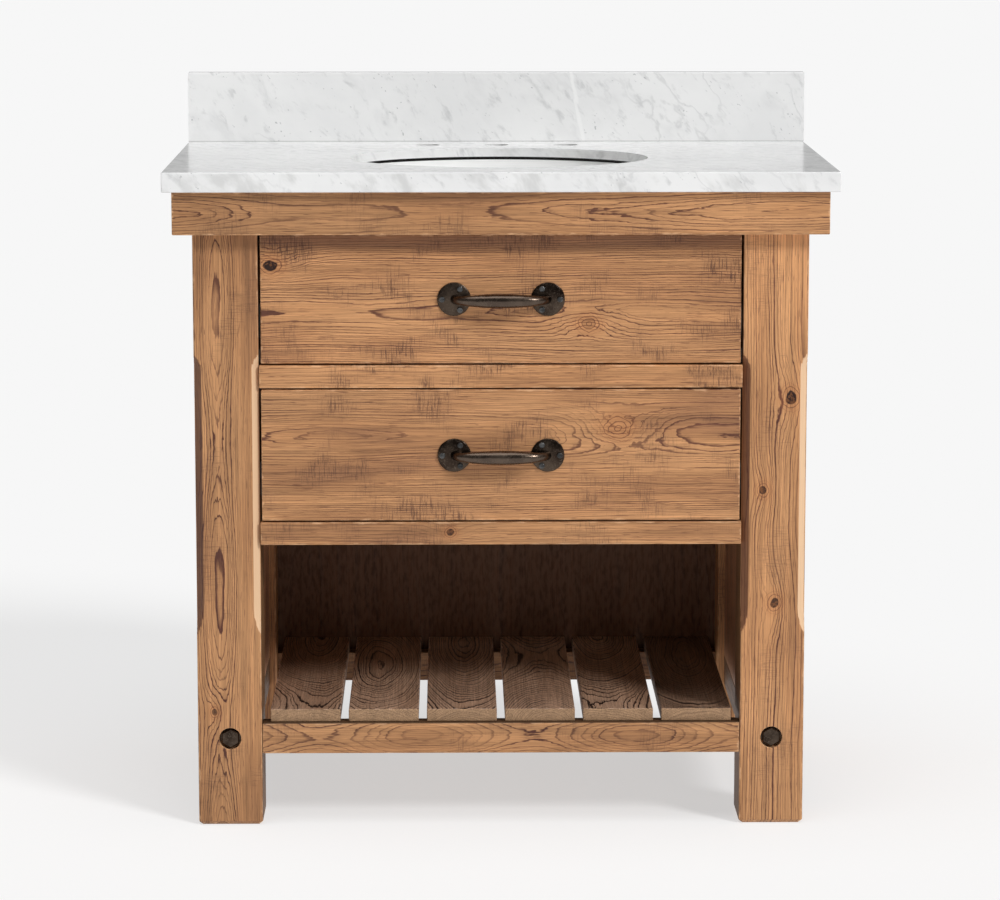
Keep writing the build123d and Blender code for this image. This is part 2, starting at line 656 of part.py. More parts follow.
# ---------------------------------------------------------------- handles
def rosette(x):
    """A round plate with a thin edge and a slight dome, against the drawer front."""
    dome_radius = (ROSETTE_RADIUS ** 2 + (ROSETTE_DOME - ROSETTE_EDGE) ** 2) / (2 * (ROSETTE_DOME - ROSETTE_EDGE))
    outline = [
        Line((0, 0), (ROSETTE_RADIUS, 0)),
        Line((ROSETTE_RADIUS, 0), (ROSETTE_RADIUS, -ROSETTE_EDGE)),
        RadiusArc((ROSETTE_RADIUS, -ROSETTE_EDGE), (0, -ROSETTE_DOME), dome_radius),
        Line((0, -ROSETTE_DOME), (0, 0)),
    ]
    return Pos(x, 0, 0) * revolve(make_face(Curve() + outline), Axis.Y)


def handle():
    """A bar that swells at its middle, bent back at each end to a rosette."""
    half = HANDLE_CENTRES / 2
    bar_half = half - BAR_BEND
    swell = BAR_MIDDLE_RADIUS - BAR_END_RADIUS
    arc_radius = (bar_half ** 2 + swell ** 2) / (2 * swell)
    outline = [
        Line((-bar_half, 0), (bar_half, 0)),
        Line((bar_half, 0), (bar_half, BAR_END_RADIUS)),
        RadiusArc((bar_half, BAR_END_RADIUS), (-bar_half, BAR_END_RADIUS), -arc_radius),
        Line((-bar_half, BAR_END_RADIUS), (-bar_half, 0)),
    ]
    grip = Pos(0, -BAR_STANDOFF, 0) * revolve(make_face(Curve() + outline), Axis.X)
    for side in SIDES.values():
        bend = side * bar_half
        route = Line((side * half, 0), (side * half, BAR_BEND - BAR_STANDOFF))
        route += TangentArc((side * half, BAR_BEND - BAR_STANDOFF), (bend, -BAR_STANDOFF), tangent=(0, -1))
        start = Plane(origin=(side * half, 0, 0), z_dir=(0, -1, 0))
        grip += sweep(start * Circle(BAR_END_RADIUS), path=route)
        grip += rosette(side * half)
    for place in screw_places():
        grip -= Pos(*place) * rod(SCREW_SHANK_RADIUS + SCREW_CLEARANCE, (0, 0, 0), (0, -ROSETTE_DOME, 0))
    return grip


def screw_places():
    """Three screws on each rosette: one at its outer side, two at its inner side."""
    places = []
    for side in SIDES.values():
        for angle in (0, 120, 240):
            x = side * (HANDLE_CENTRES / 2 + SCREW_CIRCLE * cos(radians(angle)))
            places.append((x, 0, SCREW_CIRCLE * sin(radians(angle))))
    return places


def handle_screw():
    """A round-headed slotted screw whose head sits on a rosette."""
    seat = -ROSETTE_DOME
    head = rod(SCREW_HEAD_RADIUS, (0, seat, 0), (0, seat - SCREW_HEAD_HEIGHT, 0))
    head = fillet(head.faces().sort_by(Axis.Y)[0].edges(), SCREW_HEAD_HEIGHT / 2)
    slot_y = (seat - SCREW_HEAD_HEIGHT, seat - SCREW_HEAD_HEIGHT / 2)
    head -= block(both(SCREW_HEAD_RADIUS), slot_y, both(SCREW_SLOT / 2))
    return head + rod(SCREW_SHANK_RADIUS, (0, seat, 0), (0, SCREW_BITE, 0))


def handle_screws():
    return [Pos(*place) * handle_screw() for place in screw_places()]


# ---------------------------------------------------------------- build
def build():
    frame()
    aprons()
    sides_and_back()
    corner_blocks()
    shelf()
    stone()
    sink()
    slides()
    drawer_fronts()
    upper_box()
    lower_box()
    os.makedirs("parts", exist_ok=True)
    for name, shape in nodes.items():
        export_step(shape, f"parts/{name}.step")
    print(len(nodes), "nodes")


build()
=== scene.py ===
import json
import math
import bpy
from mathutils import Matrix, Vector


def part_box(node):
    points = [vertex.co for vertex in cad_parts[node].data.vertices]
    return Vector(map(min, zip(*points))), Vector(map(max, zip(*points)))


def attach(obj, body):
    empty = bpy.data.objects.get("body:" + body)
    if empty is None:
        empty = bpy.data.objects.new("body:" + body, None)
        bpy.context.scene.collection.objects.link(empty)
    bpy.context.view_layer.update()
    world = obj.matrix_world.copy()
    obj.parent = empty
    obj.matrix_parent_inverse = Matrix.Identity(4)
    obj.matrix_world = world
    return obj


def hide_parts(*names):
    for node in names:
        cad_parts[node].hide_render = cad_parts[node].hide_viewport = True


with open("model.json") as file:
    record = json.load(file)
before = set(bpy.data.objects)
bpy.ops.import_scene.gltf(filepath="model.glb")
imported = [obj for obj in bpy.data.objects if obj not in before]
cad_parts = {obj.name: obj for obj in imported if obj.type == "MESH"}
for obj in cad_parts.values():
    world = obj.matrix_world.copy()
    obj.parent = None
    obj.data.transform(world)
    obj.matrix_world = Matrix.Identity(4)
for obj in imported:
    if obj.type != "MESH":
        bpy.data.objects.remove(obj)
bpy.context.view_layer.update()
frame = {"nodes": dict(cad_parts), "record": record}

from types import SimpleNamespace

import bpy
from mathutils import Vector, noise

# Looks of the bathroom vanity cabinet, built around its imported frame. Metres, Z up.

MM = 0.001

# ---------------------------------------------------------------- driving values
# The camera, in metres, degrees and millimetres of lens
CAMERA_PLACE = (-0.0687, -5.354, 1.3277)
CAMERA_YAW = 0.755
CAMERA_PITCH = -8.92
CAMERA_LENS = 136.0
SENSOR_WIDTH = 36.0
FAR_CLIP = 200.0

# The stage: a white surround, a floor that glows a little, and two soft suns
SKY_SEEN = 0.93
SKY_LIGHT = 0.18
FLOOR_WHITE = 0.42
FLOOR_GLOW = 0.545
FLOOR_ROUGHNESS = 0.9
FLOOR_SIZE = 60.0
KEY_SUN = {"towards": (0.59, -0.59, 0.55), "strength": 1.90, "spread": 14}
TOP_SUN = {"towards": (-0.10, -0.20, 0.97), "strength": 1.30, "spread": 50}

# The boards' rounded edges and grid cells. A thin board is this many edge roundings thick.
EDGE = 2.2 * MM
LEG_EDGE = 3.4 * MM
THICKNESS_TO_EDGE = 6
CELL = 11.0 * MM
LEAST_CELL = 0.1 * MM

# Wear: how uneven an edge is, how far its worn rim reaches, and how far a face is from flat
EDGE_WEAR = 0.45
EDGE_BUMPS_PER_METRE = 23
RIM_WIDTH = 12.0 * MM
RUBBED = 0.62
WAVINESS = 0.18 * MM
WAVES_PER_METRE = 7
# The pale colour of the right-hand chamfers: worn fresh-cut wood, made brighter as painted highlight
FRESH_CUT_AND_HIGHLIGHT = (0.820, 0.580, 0.370)

# The front legs' stopped chamfers, and the rim values that mark a right-hand one, worn pale with painted
# highlight, and a left-hand one, dark with painted shade
CHAMFER_WIDTH = 11.0 * MM
CHAMFER_LOW = 267.0 * MM
CHAMFER_HIGH = 659.0 * MM
RUNOUT_LOW = 42.0 * MM
RUNOUT_HIGH = 25.0 * MM
CHAMFER_UNEVENNESS = 0.04
CHAMFER_BUMPS_PER_METRE = 30
CHAMFER_LEAST = 0.2 * MM
CHAMFER_WORN_AND_LIT = -0.40
CHAMFER_PAINTED_SHADE = 2.0

# The feet, and the holes for bolts and screws
FOOT_BEVEL = 5.5 * MM
COUNTERBORE_RADIUS = 15.3 * MM
COUNTERBORE_DEPTH = 12.0 * MM
SCREW_HEAD_RADIUS = 4.2 * MM
SCREW_HEAD_DEPTH = 2.5 * MM
WALL_FIXING_RADIUS = 3.5 * MM
DRILL_START = 10.0 * MM

# The handles: two domed rosettes and a bar that leaves one, swells and returns to the other
HANDLE_CENTRES = 128.0 * MM
ROSETTE_RADIUS = 23.3 * MM
ROSETTE_EDGE = 2.4 * MM
ROSETTE_DOME = 4.6 * MM
ROSETTE_UNEVENNESS = 0.03
BAR_END_RADIUS = 6.4 * MM
BAR_MIDDLE_RADIUS = 9.7 * MM
BAR_STANDOFF = 25.0 * MM
BAR_SQUARENESS = 5
BAR_SPREAD = 1.25
BAR_SWELL = 0.80
BAR_FLATNESS = 0.92
BAR_UNEVENNESS = 0.022
BAR_BUMPS_PER_METRE = 60

# Painted shade in the groove under the stone, and the one white vein in the backsplash
GROOVE_SHADE_DEPTH = 4.2 * MM
WHITE_VEIN_X = 129.0 * MM
WHITE_VEIN_SLANT = 0.176
WHITE_VEIN_SWAY = 12.0 * MM

# How far rings stray at two finenesses, and how dark they are from early to late wood and at most
RAGGED = 4.2 * MM
FRAYED = 1.0 * MM
LATE_PROFILE = ((0.0, 0.03), (0.52, 0.06), (0.74, 0.20), (0.86, 1.0), (0.94, 1.0), (1.0, 0.03))
LATE_LIMIT = 0.92


# ---------------------------------------------------------------- node graphs
class Graph:
    """Adds nodes to a tree. An input is given as a plain value or as another node's output."""

    def __init__(self, tree):
        self.tree = tree
        tree.nodes.clear()

    def add(self, kind, inputs=None, **settings):
        node = self.tree.nodes.new(kind)
        for key, value in settings.items():
            setattr(node, key, value)
        for key, value in (inputs or {}).items():
            self.wire(node.inputs[key], value)
        return node

    def wire(self, socket, value):
        if isinstance(value, bpy.types.NodeSocket):
            self.tree.links.new(value, socket)
        else:
            socket.default_value = value

    def math(self, operation, a, b=0.0, clamp=False):
        return self.add("ShaderNodeMath", {0: a, 1: b}, operation=operation, use_clamp=clamp).outputs[0]

    def plus(self, a, b):
        return self.math("ADD", a, b)

    def minus(self, a, b):
        return self.math("SUBTRACT", a, b)

    def times(self, a, b):
        return self.math("MULTIPLY", a, b)

    def over(self, a, b):
        return self.math("DIVIDE", a, b)

    def weighted(self, *terms):
        """The sum of some values, each times its weight."""
        total = 0.0
        for value, weight in terms:
            total = self.plus(total, self.times(value, weight))
        return total

    def tint(self, colour, factor):
        """A colour times a number or another colour."""
        return self.mix(1.0, colour, factor, blend="MULTIPLY")

    def vector(self, operation, a, b=(0.0, 0.0, 0.0)):
        return self.add("ShaderNodeVectorMath", {0: a, 1: b}, operation=operation).outputs[0]

    def noise(self, at, stretch=(1.0, 1.0, 1.0), scale=1.0, detail=2.0, rough=0.5, colour=False):
        at = self.vector("MULTIPLY", at, stretch)
        inputs = {"Vector": at, "Scale": scale, "Detail": detail, "Roughness": rough}
        return self.add("ShaderNodeTexNoise", inputs).outputs[1 if colour else 0]

    def between(self, value, low, high, to_low=0.0, to_high=1.0):
        """Turns value from low to high smoothly into to_low to to_high."""
        inputs = {0: value, 1: low, 2: high, 3: to_low, 4: to_high}
        return self.add("ShaderNodeMapRange", inputs, interpolation_type="SMOOTHSTEP").outputs[0]

    def ramp(self, value, stops):
        """Turns value into greys. A stop is (place, grey)."""
        node = self.add("ShaderNodeValToRGB", {0: value})
        points = node.color_ramp.elements
        while len(points) < len(stops):
            points.new(0.5)
        for point, (place, grey) in zip(points, stops):
            point.position = place
            point.color = (grey, grey, grey, 1.0)
        return node.outputs[0]

    def mix(self, factor, a, b, blend="MIX"):
        node = self.add("ShaderNodeMix", data_type="RGBA", blend_type=blend)
        for socket, value in ((node.inputs[0], factor), (node.inputs[6], a), (node.inputs[7], b)):
            if isinstance(value, tuple) and len(value) == 3:
                value = (*value, 1.0)
            self.wire(socket, value)
        return node.outputs[2]

    def place(self):
        """Where a point of the object lies at rest: right, towards the wall and up, in metres."""
        return self.add("ShaderNodeTexCoord").outputs["Object"]

    def group(self, tree, given):
        return self.add("ShaderNodeGroup", given, node_tree=tree).outputs

    def split(self, vector):
        return self.add("ShaderNodeSeparateXYZ", {0: vector}).outputs

    def join(self, x, y, z):
        return self.add("ShaderNodeCombineXYZ", {0: x, 1: y, 2: z}).outputs[0]


def shader(name, build, **fixed):
    """A material. build(graph) returns its colour, roughness and height, and the relief's depth.

    fixed holds the shader's sockets that are the same all over the surface.
    """
    material = bpy.data.materials.new(name)
    material.use_nodes = True
    g = Graph(material.node_tree)
    colour, rough, height, relief = build(g)
    surface = g.add("ShaderNodeBsdfPrincipled", {"Base Color": colour, "Roughness": rough})
    for key, value in fixed.items():
        surface.inputs[key.replace("_", " ")].default_value = value
    bump = g.add("ShaderNodeBump", {"Height": height, "Distance": relief})
    g.wire(surface.inputs["Normal"], bump.outputs[0])
    g.add("ShaderNodeOutputMaterial", {0: surface.outputs[0]})
    return material


# ---------------------------------------------------------------- wood
def group(name, inputs, outputs):
    """An empty node group with float inputs and outputs, except an input named Vector."""
    tree = bpy.data.node_groups.new(name, "ShaderNodeTree")
    for way, sockets in (("INPUT", inputs), ("OUTPUT", outputs)):
        for socket in sockets:
            kind = "NodeSocketVector" if socket == "Vector" else "NodeSocketFloat"
            tree.interface.new_socket(socket, in_out=way, socket_type=kind)
    return tree


def ring_group():
    """Growth rings and fibres of a board. Vector is along, across and deep, in metres.

    The pith runs along the board behind its face. It comes nearest the face at Bow At and again
    every Bow Length, and Bow is how much deeper it lies between: this cuts the rings into ovals.
    """
    tree = group(
        "pine_rings",
        ("Vector", "Pith Across", "Pith Deep", "Ring", "Wander", "Bow", "Bow At", "Bow Length",
         "Swell", "Seed"),
        ("Late", "Fibre", "Streak", "Cloud", "Dash"),
    )
    g = Graph(tree)
    given = g.add("NodeGroupInput").outputs
    seed = given["Seed"]
    offset = g.join(g.times(seed, 3.71), g.times(seed, 1.93), seed)
    at = g.vector("ADD", given["Vector"], offset)
    along, across, deep = g.split(given["Vector"])
    sway = g.split(g.noise(at, (2.6, 8.0, 8.0), detail=2.0, colour=True))
    ragged = g.split(g.noise(at, (13.0, 75.0, 75.0), detail=3.0, colour=True))
    frayed = g.split(g.noise(at, (90.0, 420.0, 420.0), detail=2.0, colour=True))

    def from_pith(value, pith, axis, share):
        gap = g.minus(value, pith)
        reach = g.times(given["Wander"], share)
        for stray, amount in ((sway, reach), (ragged, RAGGED), (frayed, FRAYED)):
            gap = g.plus(gap, g.times(g.minus(stray[axis], 0.5), amount))
        return gap

    turn = g.over(g.minus(along, given["Bow At"]), given["Bow Length"])
    wave = g.math("COSINE", g.times(turn, 2 * math.pi))
    dip = g.times(g.minus(1.0, wave), g.times(given["Bow"], 0.5))
    y = from_pith(across, given["Pith Across"], 0, 0.45)
    z = g.minus(from_pith(deep, given["Pith Deep"], 1, 1.35), dip)
    radius = g.math("SQRT", g.plus(g.times(y, y), g.times(z, z)))
    radius = g.plus(radius, given["Swell"])
    years = g.over(radius, given["Ring"])
    growth = g.noise(g.join(g.times(years, 0.35), seed, 0.0), detail=2.0)
    years = g.plus(years, g.times(growth, 3.0))
    late = g.ramp(g.math("FRACT", years), LATE_PROFILE)
    strength = g.between(g.noise(g.join(years, seed, 1.0), scale=0.5), 0.36, 0.60, 0.45, 1.0)
    patchy = g.between(g.noise(at, (4.0, 16.0, 16.0), detail=2.0), 0.34, 0.58, 0.50, 1.0)
    result = {
        "Late": g.times(late, g.times(strength, patchy)),
        "Fibre": g.noise(at, (11.0, 620.0, 620.0), detail=3.0, rough=0.65),
        "Streak": g.noise(at, (2.6, 90.0, 90.0), detail=3.0, rough=0.5),
        "Cloud": g.noise(at, (3.5, 17.0, 17.0), detail=4.0),
        "Dash": g.between(g.noise(at, (38.0, 900.0, 900.0), detail=1.0), 0.63, 0.70),
    }
    g.add("NodeGroupOutput", result)
    return tree


def knot_group():
    """One knot through a board. Swell bends the rings round it, and Core is 1 inside it."""
    tree = group(
        "pine_knot",
        ("Vector", "Along", "Across", "Size", "Seed"),
        ("Swell", "Core", "Halo", "Outline"),
    )
    g = Graph(tree)
    given = g.add("NodeGroupInput").outputs
    place = g.split(given["Vector"])
    dx = g.minus(place[0], given["Along"])
    dy = g.minus(place[1], given["Across"])
    rough_edge = g.noise(g.vector("ADD", given["Vector"], g.join(given["Seed"], 0.0, 0.0)), scale=75.0)
    rough_edge = g.times(g.minus(rough_edge, 0.5), g.times(given["Size"], 1.1))

    def reach(squeeze):
        x = g.times(dx, squeeze)
        span = g.math("SQRT", g.plus(g.times(x, x), g.times(dy, dy)))
        return g.over(g.plus(span, rough_edge), given["Size"])

    wide = reach(0.42)
    close = reach(0.80)
    falloff = g.math("EXPONENT", g.times(g.times(wide, wide), -0.11))
    ripple = g.math("ABSOLUTE", g.minus(g.math("FRACT", g.times(close, 1.6)), 0.5))
    result = {
        "Swell": g.times(g.times(falloff, given["Size"]), 2.0),
        "Core": g.between(close, 1.10, 0.85),
        "Halo": g.between(close, 3.6, 0.9),
        "Outline": g.times(g.between(ripple, 0.16, 0.05), g.between(close, 2.6, 1.4)),
    }
    g.add("NodeGroupOutput", result)
    return tree


RINGS = ring_group()
KNOT = knot_group()

# How a board lies: which row axis runs along its grain, across its face and into it
LAYS = {
    "across_front": (0, 2, 1),
    "up_front": (2, 0, 1),
    "shelf": (1, 0, 2),
    "up_side": (2, 1, 0),
    "back_side": (1, 2, 0),
}

# Woods: the colour between the rings, of the rings, and of the stains
HONEY = {"light": (0.625, 0.318, 0.142), "dark": (0.115, 0.038, 0.024), "stain": (0.155, 0.068, 0.044)}
SHELF = {"light": (0.425, 0.262, 0.174), "dark": (0.020, 0.009, 0.006), "stain": (0.100, 0.054, 0.038)}
LINING = {"light": (0.560, 0.290, 0.165), "dark": (0.130, 0.055, 0.030), "stain": (0.130, 0.062, 0.040)}
# The back panel's wood, dark as painted shade of the niche it lines
PAINTED_RECESS_SHADE = {"light": (0.150, 0.066, 0.030), "dark": (0.060, 0.024, 0.011), "stain": (0.070, 0.030, 0.015)}
BIRCH = {"light": (0.700, 0.530, 0.345), "dark": (0.480, 0.320, 0.180), "stain": (0.520, 0.360, 0.220)}
SLAT_END = (0.385, 0.235, 0.132)

# The look of a board where its table says nothing else. Places are along and across its face, from
# its centre, in metres.
COMMON_LOOK = dict(
    tone=HONEY,
    level=1.0,            # scales the tone
    pith=(0.0, 0.09),     # where the rings' centre is, across the face and beyond the board's middle
    ring=2.8 * MM,        # the width of a year
    wander=0.03,          # how far the pith strays
    bow=(0.0, 0.0, 1.0),  # how far the pith dips, where it is nearest the face, and over what length
    contrast=1.0,         # of the rings
    plain=None,           # the rings fade out across the face between these two places
    knots=(),             # the place along, place across, size and darkness of each
    stain=0.35,
    ticks=0.5,            # the strength of the saw marks
    band=None,            # stained, and darkened as painted shadow, across the face between two places, by an amount
    fades=(),             # each scales the colour along the face between two places, by an amount
    shade=None,           # painted shade: the same across it, for a side that lies in shade, such as one facing into the cabinet
    end=None,             # half the board's length, and the colour of its end grain
)


def scaled(colour, r, g, b):
    """A colour with each part scaled, kept in range."""
    return tuple(min(1.0, c * k) for c, k in zip(colour, (r, g, b)))


def knots_of(g, at, knots, seed):
    """All knots of a board together: swell, core weighted by darkness, halo and outline."""
    swell, core, halo, outline = 0.0, 0.0, 0.0, 0.0
    for i, (along, across, size, darkness) in enumerate(knots):
        given = {"Vector": at, "Along": along, "Across": across, "Size": size, "Seed": seed + i}
        knot = g.group(KNOT, given)
        swell = g.plus(swell, knot["Swell"])
        core = g.math("MAXIMUM", core, g.times(knot["Core"], darkness))
        halo = g.math("MAXIMUM", halo, knot["Halo"])
        outline = g.math("MAXIMUM", outline, knot["Outline"])
    return swell, core, halo, outline


def saw_marks(g, at, seed):
    """Short dark nicks square to the grain, in patches: the marks, and the patches themselves."""
    nicks = g.noise(at, (560.0, 40.0, 40.0), detail=3.0, rough=0.8)
    patch = g.noise(g.vector("ADD", at, (seed, 0.0, 0.0)), (13.0, 17.0, 17.0), detail=3.0)
    patch = g.between(patch, 0.50, 0.68)
    return g.times(g.between(nicks, 0.50, 0.62), patch), patch


def late_wood(g, rings, halo, across, look):
    """How much of the rings' dark wood shows: more round knots, less on the plain part of a face."""
    late = g.times(rings["Late"], g.plus(look.contrast, g.times(halo, 0.5)))
    if look.plain:
        late = g.times(late, g.between(across, *look.plain, 1.0, 0.15))
    return g.math("MULTIPLY", late, LATE_LIMIT, clamp=True)


def grown_wood(g, rings, late, grain, look):
    """The colour of clean wood: clouds, stains, rings, grain and dark dashes."""
    cloud = rings["Cloud"]
    warm = scaled(look.light, 0.86, 0.80, 0.74)
    colour = g.mix(g.between(cloud, 0.38, 0.62, 0.0, 0.65), look.light, warm)
    colour = g.mix(g.times(g.between(cloud, 0.47, 0.76), look.stain), colour, look.stained)
    colour = g.mix(late, colour, look.dark)
    colour = g.tint(colour, grain)
    return g.mix(g.times(rings["Dash"], 0.6), colour, look.dark)


def stained_and_shadowed(g, colour, across, streak, look):
    """Darkens the part of a face beyond a ragged line along the board: a stain, and a painted shadow."""
    start, stop, amount = look.band
    edge = g.plus(across, g.times(g.minus(streak, 0.5), 0.02))
    return g.mix(g.between(edge, start, stop, 0.0, amount), colour, look.stained)


def sawn(g, colour, height, at, look):
    """Adds the saw marks, which are cut into the face, and the stains round them."""
    marks, patch = saw_marks(g, at, look.seed)
    colour = g.mix(g.times(patch, 0.22 * look.ticks), colour, look.stained)
    colour = g.mix(g.times(marks, look.ticks), colour, scaled(look.stained, 0.7, 0.7, 0.75))
    return colour, g.minus(height, g.times(marks, 0.35 * look.ticks))


def knotted(g, colour, height, at, core, halo, outline, look):
    """Adds the knots: reddish wood round them, dark outlines, and a sunken core with rot in it."""
    reddish = scaled(look.light, 0.80, 0.58, 0.42)
    colour = g.mix(g.times(halo, 0.30), colour, reddish)
    colour = g.mix(g.times(outline, 0.75), colour, look.dark)
    rot = g.between(g.noise(at, (260.0,) * 3), 0.45, 0.65, 0.0, 0.28)
    colour = g.mix(core, colour, g.mix(rot, scaled(look.dark, 0.2, 0.2, 0.2), reddish))
    return colour, g.minus(height, g.times(core, 0.4))


def worn_edges_and_painted_chamfers(g, colour, at, look):
    """Rubs the edges pale, paints a right-hand chamfer worn pale with painted highlight and a left-hand
    one dark with painted shade, as the mesh's rim says.
    """
    rim = g.add("ShaderNodeAttribute", attribute_name="rim").outputs["Fac"]
    chips = g.noise(at, (60.0, 170.0, 170.0), detail=3.0)
    rubbed = g.between(g.plus(rim, chips), 0.66, 0.40, 0.0, RUBBED)
    colour = g.mix(rubbed, colour, scaled(look.light, 1.42, 1.68, 2.10))
    # Painted highlight: the right-hand chamfers are worn pale and brightened as if lit
    colour = g.mix(g.between(rim, 0.0, CHAMFER_WORN_AND_LIT, 0.0, 0.66), colour, FRESH_CUT_AND_HIGHLIGHT)
    # Painted shade: the left-hand chamfers are darkened as if in shade
    return g.mix(g.between(rim, 1.0, CHAMFER_PAINTED_SHADE, 0.0, 0.72), colour, look.dark)


def end_sawn(g, colour, along, late, grain, look):
    """Shows end grain on the two ends of a board."""
    half, pale = look.end
    cut = g.between(g.math("ABSOLUTE", along), half - 1.0 * MM, half - 0.3 * MM)
    end = g.tint(g.mix(g.times(late, 0.3), pale, look.dark), grain)
    return g.mix(cut, colour, end)


def pine(name, lay, centre, **given):
    """Weathered wood for one board with this centre. given changes its COMMON_LOOK."""
    look = SimpleNamespace(**{**COMMON_LOOK, **given})
    look.light, look.dark, look.stained = (
        scaled(look.tone[part], *(look.level,) * 3) for part in ("light", "dark", "stain")
    )

    def build(g):
        local = g.split(g.vector("SUBTRACT", g.place(), tuple(centre)))
        along, across, deep = (local[i] for i in LAYS[lay])
        at = g.join(along, across, deep)
        swell, core, halo, outline = knots_of(g, at, look.knots, look.seed)
        rings = g.group(RINGS, {
            "Vector": at, "Pith Across": look.pith[0], "Pith Deep": look.pith[1], "Ring": look.ring,
            "Wander": look.wander, "Bow": look.bow[0], "Bow At": look.bow[1], "Bow Length": look.bow[2],
            "Swell": swell, "Seed": look.seed,
        })
        fibre, streak = rings["Fibre"], rings["Streak"]
        late = late_wood(g, rings, halo, across, look)
        height = g.plus(g.times(fibre, -0.45), g.times(late, 0.25))
        grain = g.between(fibre, 0.32, 0.68, 1.18, 0.78)
        grain = g.times(grain, g.between(streak, 0.34, 0.66, 1.08, 0.90))
        colour = grown_wood(g, rings, late, grain, look)
        if look.band:
            colour = stained_and_shadowed(g, colour, across, streak, look)
        if look.ticks:
            colour, height = sawn(g, colour, height, at, look)
        for start, stop, amount in look.fades:
            colour = g.tint(colour, g.between(along, start, stop, 1.0, amount))
        if look.knots:
            colour, height = knotted(g, colour, height, at, core, halo, outline, look)
        colour = worn_edges_and_painted_chamfers(g, colour, at, look)
        if look.end:
            colour = end_sawn(g, colour, along, late, grain, look)
        # Painted shade on a side of the board that lies in shade
        if look.shade:
            start, stop, amount = look.shade
            colour = g.tint(colour, g.between(across, start, stop, 1.0, amount))
        rough = g.plus(g.between(fibre, 0.3, 0.7, 0.46, 0.62), g.times(late, -0.08))
        return colour, rough, height, 0.9 * MM
    return shader(name, build, Specular_IOR_Level=0.30)


# ---------------------------------------------------------------- stone, ceramic and metal
MARBLE = {
    "pale": (0.872, 0.874, 0.870),
    "cloud": (0.815, 0.818, 0.818),
    "smear": (0.660, 0.664, 0.668),
    "streak": (0.480, 0.486, 0.492),
    "vein": (0.450, 0.456, 0.462),
    "speck": (0.300, 0.312, 0.325),
    "white vein": (0.930, 0.930, 0.925),
    "joint": (0.320, 0.320, 0.310),
    "edge": (0.520, 0.520, 0.510),
}


def streaked(g, bed, bent, cloud, streak, smear):
    """Pale stone with clouds, smears, slanted streaks, thin veins and specks, and where specks are."""
    ridge = g.math("ABSOLUTE", g.minus(g.noise(bent, (12.0, 4.0, 6.0), detail=5.0), 0.5))
    where = g.between(g.noise(bed, (6.0, 5.0, 5.0), detail=2.0), 0.46, 0.60)
    vein = g.times(g.between(ridge, 0.016, 0.0), where)
    speck = g.between(g.noise(bent, (260.0, 90.0, 150.0), detail=1.0), 0.69, 0.74)
    patch = g.between(g.noise(bed, (22.0, 15.0, 15.0), detail=2.0), 0.48, 0.62)
    speck = g.times(speck, patch)
    colour = g.mix(g.between(cloud, 0.36, 0.66), MARBLE["pale"], MARBLE["cloud"])
    colour = g.mix(g.between(smear, 0.52, 0.72, 0.0, 0.36), colour, MARBLE["smear"])
    colour = g.mix(g.between(streak, 0.54, 0.74, 0.0, 0.52), colour, MARBLE["streak"])
    colour = g.mix(g.times(vein, 0.32), colour, MARBLE["vein"])
    return g.mix(g.times(speck, 0.60), colour, MARBLE["speck"]), speck


def marble():
    """Pale stone with fine slanted streaks, specks, one white vein and a grey joint above the top."""
    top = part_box("countertop")[1].z
    vein_place = WHITE_VEIN_X + WHITE_VEIN_SLANT * top + WHITE_VEIN_SWAY / 2

    def build(g):
        x, y, z = g.split(g.place())
        across = g.weighted((x, 0.84), (z, 0.54), (y, 0.30))
        along = g.weighted((x, 0.54), (z, -0.84), (y, -1.0))
        bed = g.join(across, along, y)
        drift = g.minus(g.noise(bed, (7.0,) * 3, detail=3.0), 0.5)
        bent = g.join(g.weighted((across, 1.0), (drift, 0.05)), along, g.plus(y, z))
        cloud = g.noise(bent, (7.0, 4.0, 5.0), detail=5.0, rough=0.62)
        streak = g.noise(bent, (75.0, 17.0, 30.0), detail=5.0, rough=0.62)
        smear = g.noise(bent, (26.0, 8.0, 12.0), detail=4.0, rough=0.6)
        colour, speck = streaked(g, bed, bent, cloud, streak, smear)
        lean = g.weighted((x, 1.0), (z, WHITE_VEIN_SLANT), (streak, WHITE_VEIN_SWAY))
        white = g.between(g.math("ABSOLUTE", g.minus(lean, vein_place)), 3.6 * MM, 1.2 * MM)
        white = g.times(white, g.between(z, top, top + 1.0 * MM))
        colour = g.mix(g.times(white, 0.75), colour, MARBLE["white vein"])
        joint = g.times(g.between(z, top, top + 0.3 * MM), g.between(z, top + 2.2 * MM, top + 1.0 * MM))
        colour = g.mix(g.times(joint, 0.45), colour, MARBLE["joint"])
        below_top = g.between(z, top - 0.5 * MM, top - 3.0 * MM)
        edge = g.times(below_top, g.between(smear, 0.46, 0.64))
        colour = g.mix(g.times(edge, 0.42), colour, MARBLE["edge"])
        height = g.weighted((cloud, 0.4), (speck, -0.2))
        return colour, g.between(streak, 0.3, 0.7, 0.16, 0.26), height, 0.08 * MM
    return shader("carrara_marble", build, Specular_IOR_Level=0.5)


def ceramic():
    """White glaze, with painted shade in the groove under the stone."""
    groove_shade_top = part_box("sink_bowl")[1].z - GROOVE_SHADE_DEPTH

    def build(g):
        at = g.place()
        flow = g.noise(at, (9.0,) * 3, detail=3.0)
        colour = g.mix(g.between(flow, 0.3, 0.7), (0.93, 0.93, 0.92), (0.89, 0.895, 0.89))
        # Painted shade: the groove between the bowl and the stone is darkened as a shadow gap
        groove_shade = g.between(g.split(at)[2], groove_shade_top - 0.4 * MM, groove_shade_top)
        colour = g.mix(groove_shade, colour, (0.025, 0.023, 0.021))
        return colour, g.between(flow, 0.3, 0.7, 0.06, 0.12), g.noise(at, (40.0,) * 3), 0.08 * MM
    return shader("glazed_ceramic", build, Coat_Weight=0.4, Coat_Roughness=0.04)


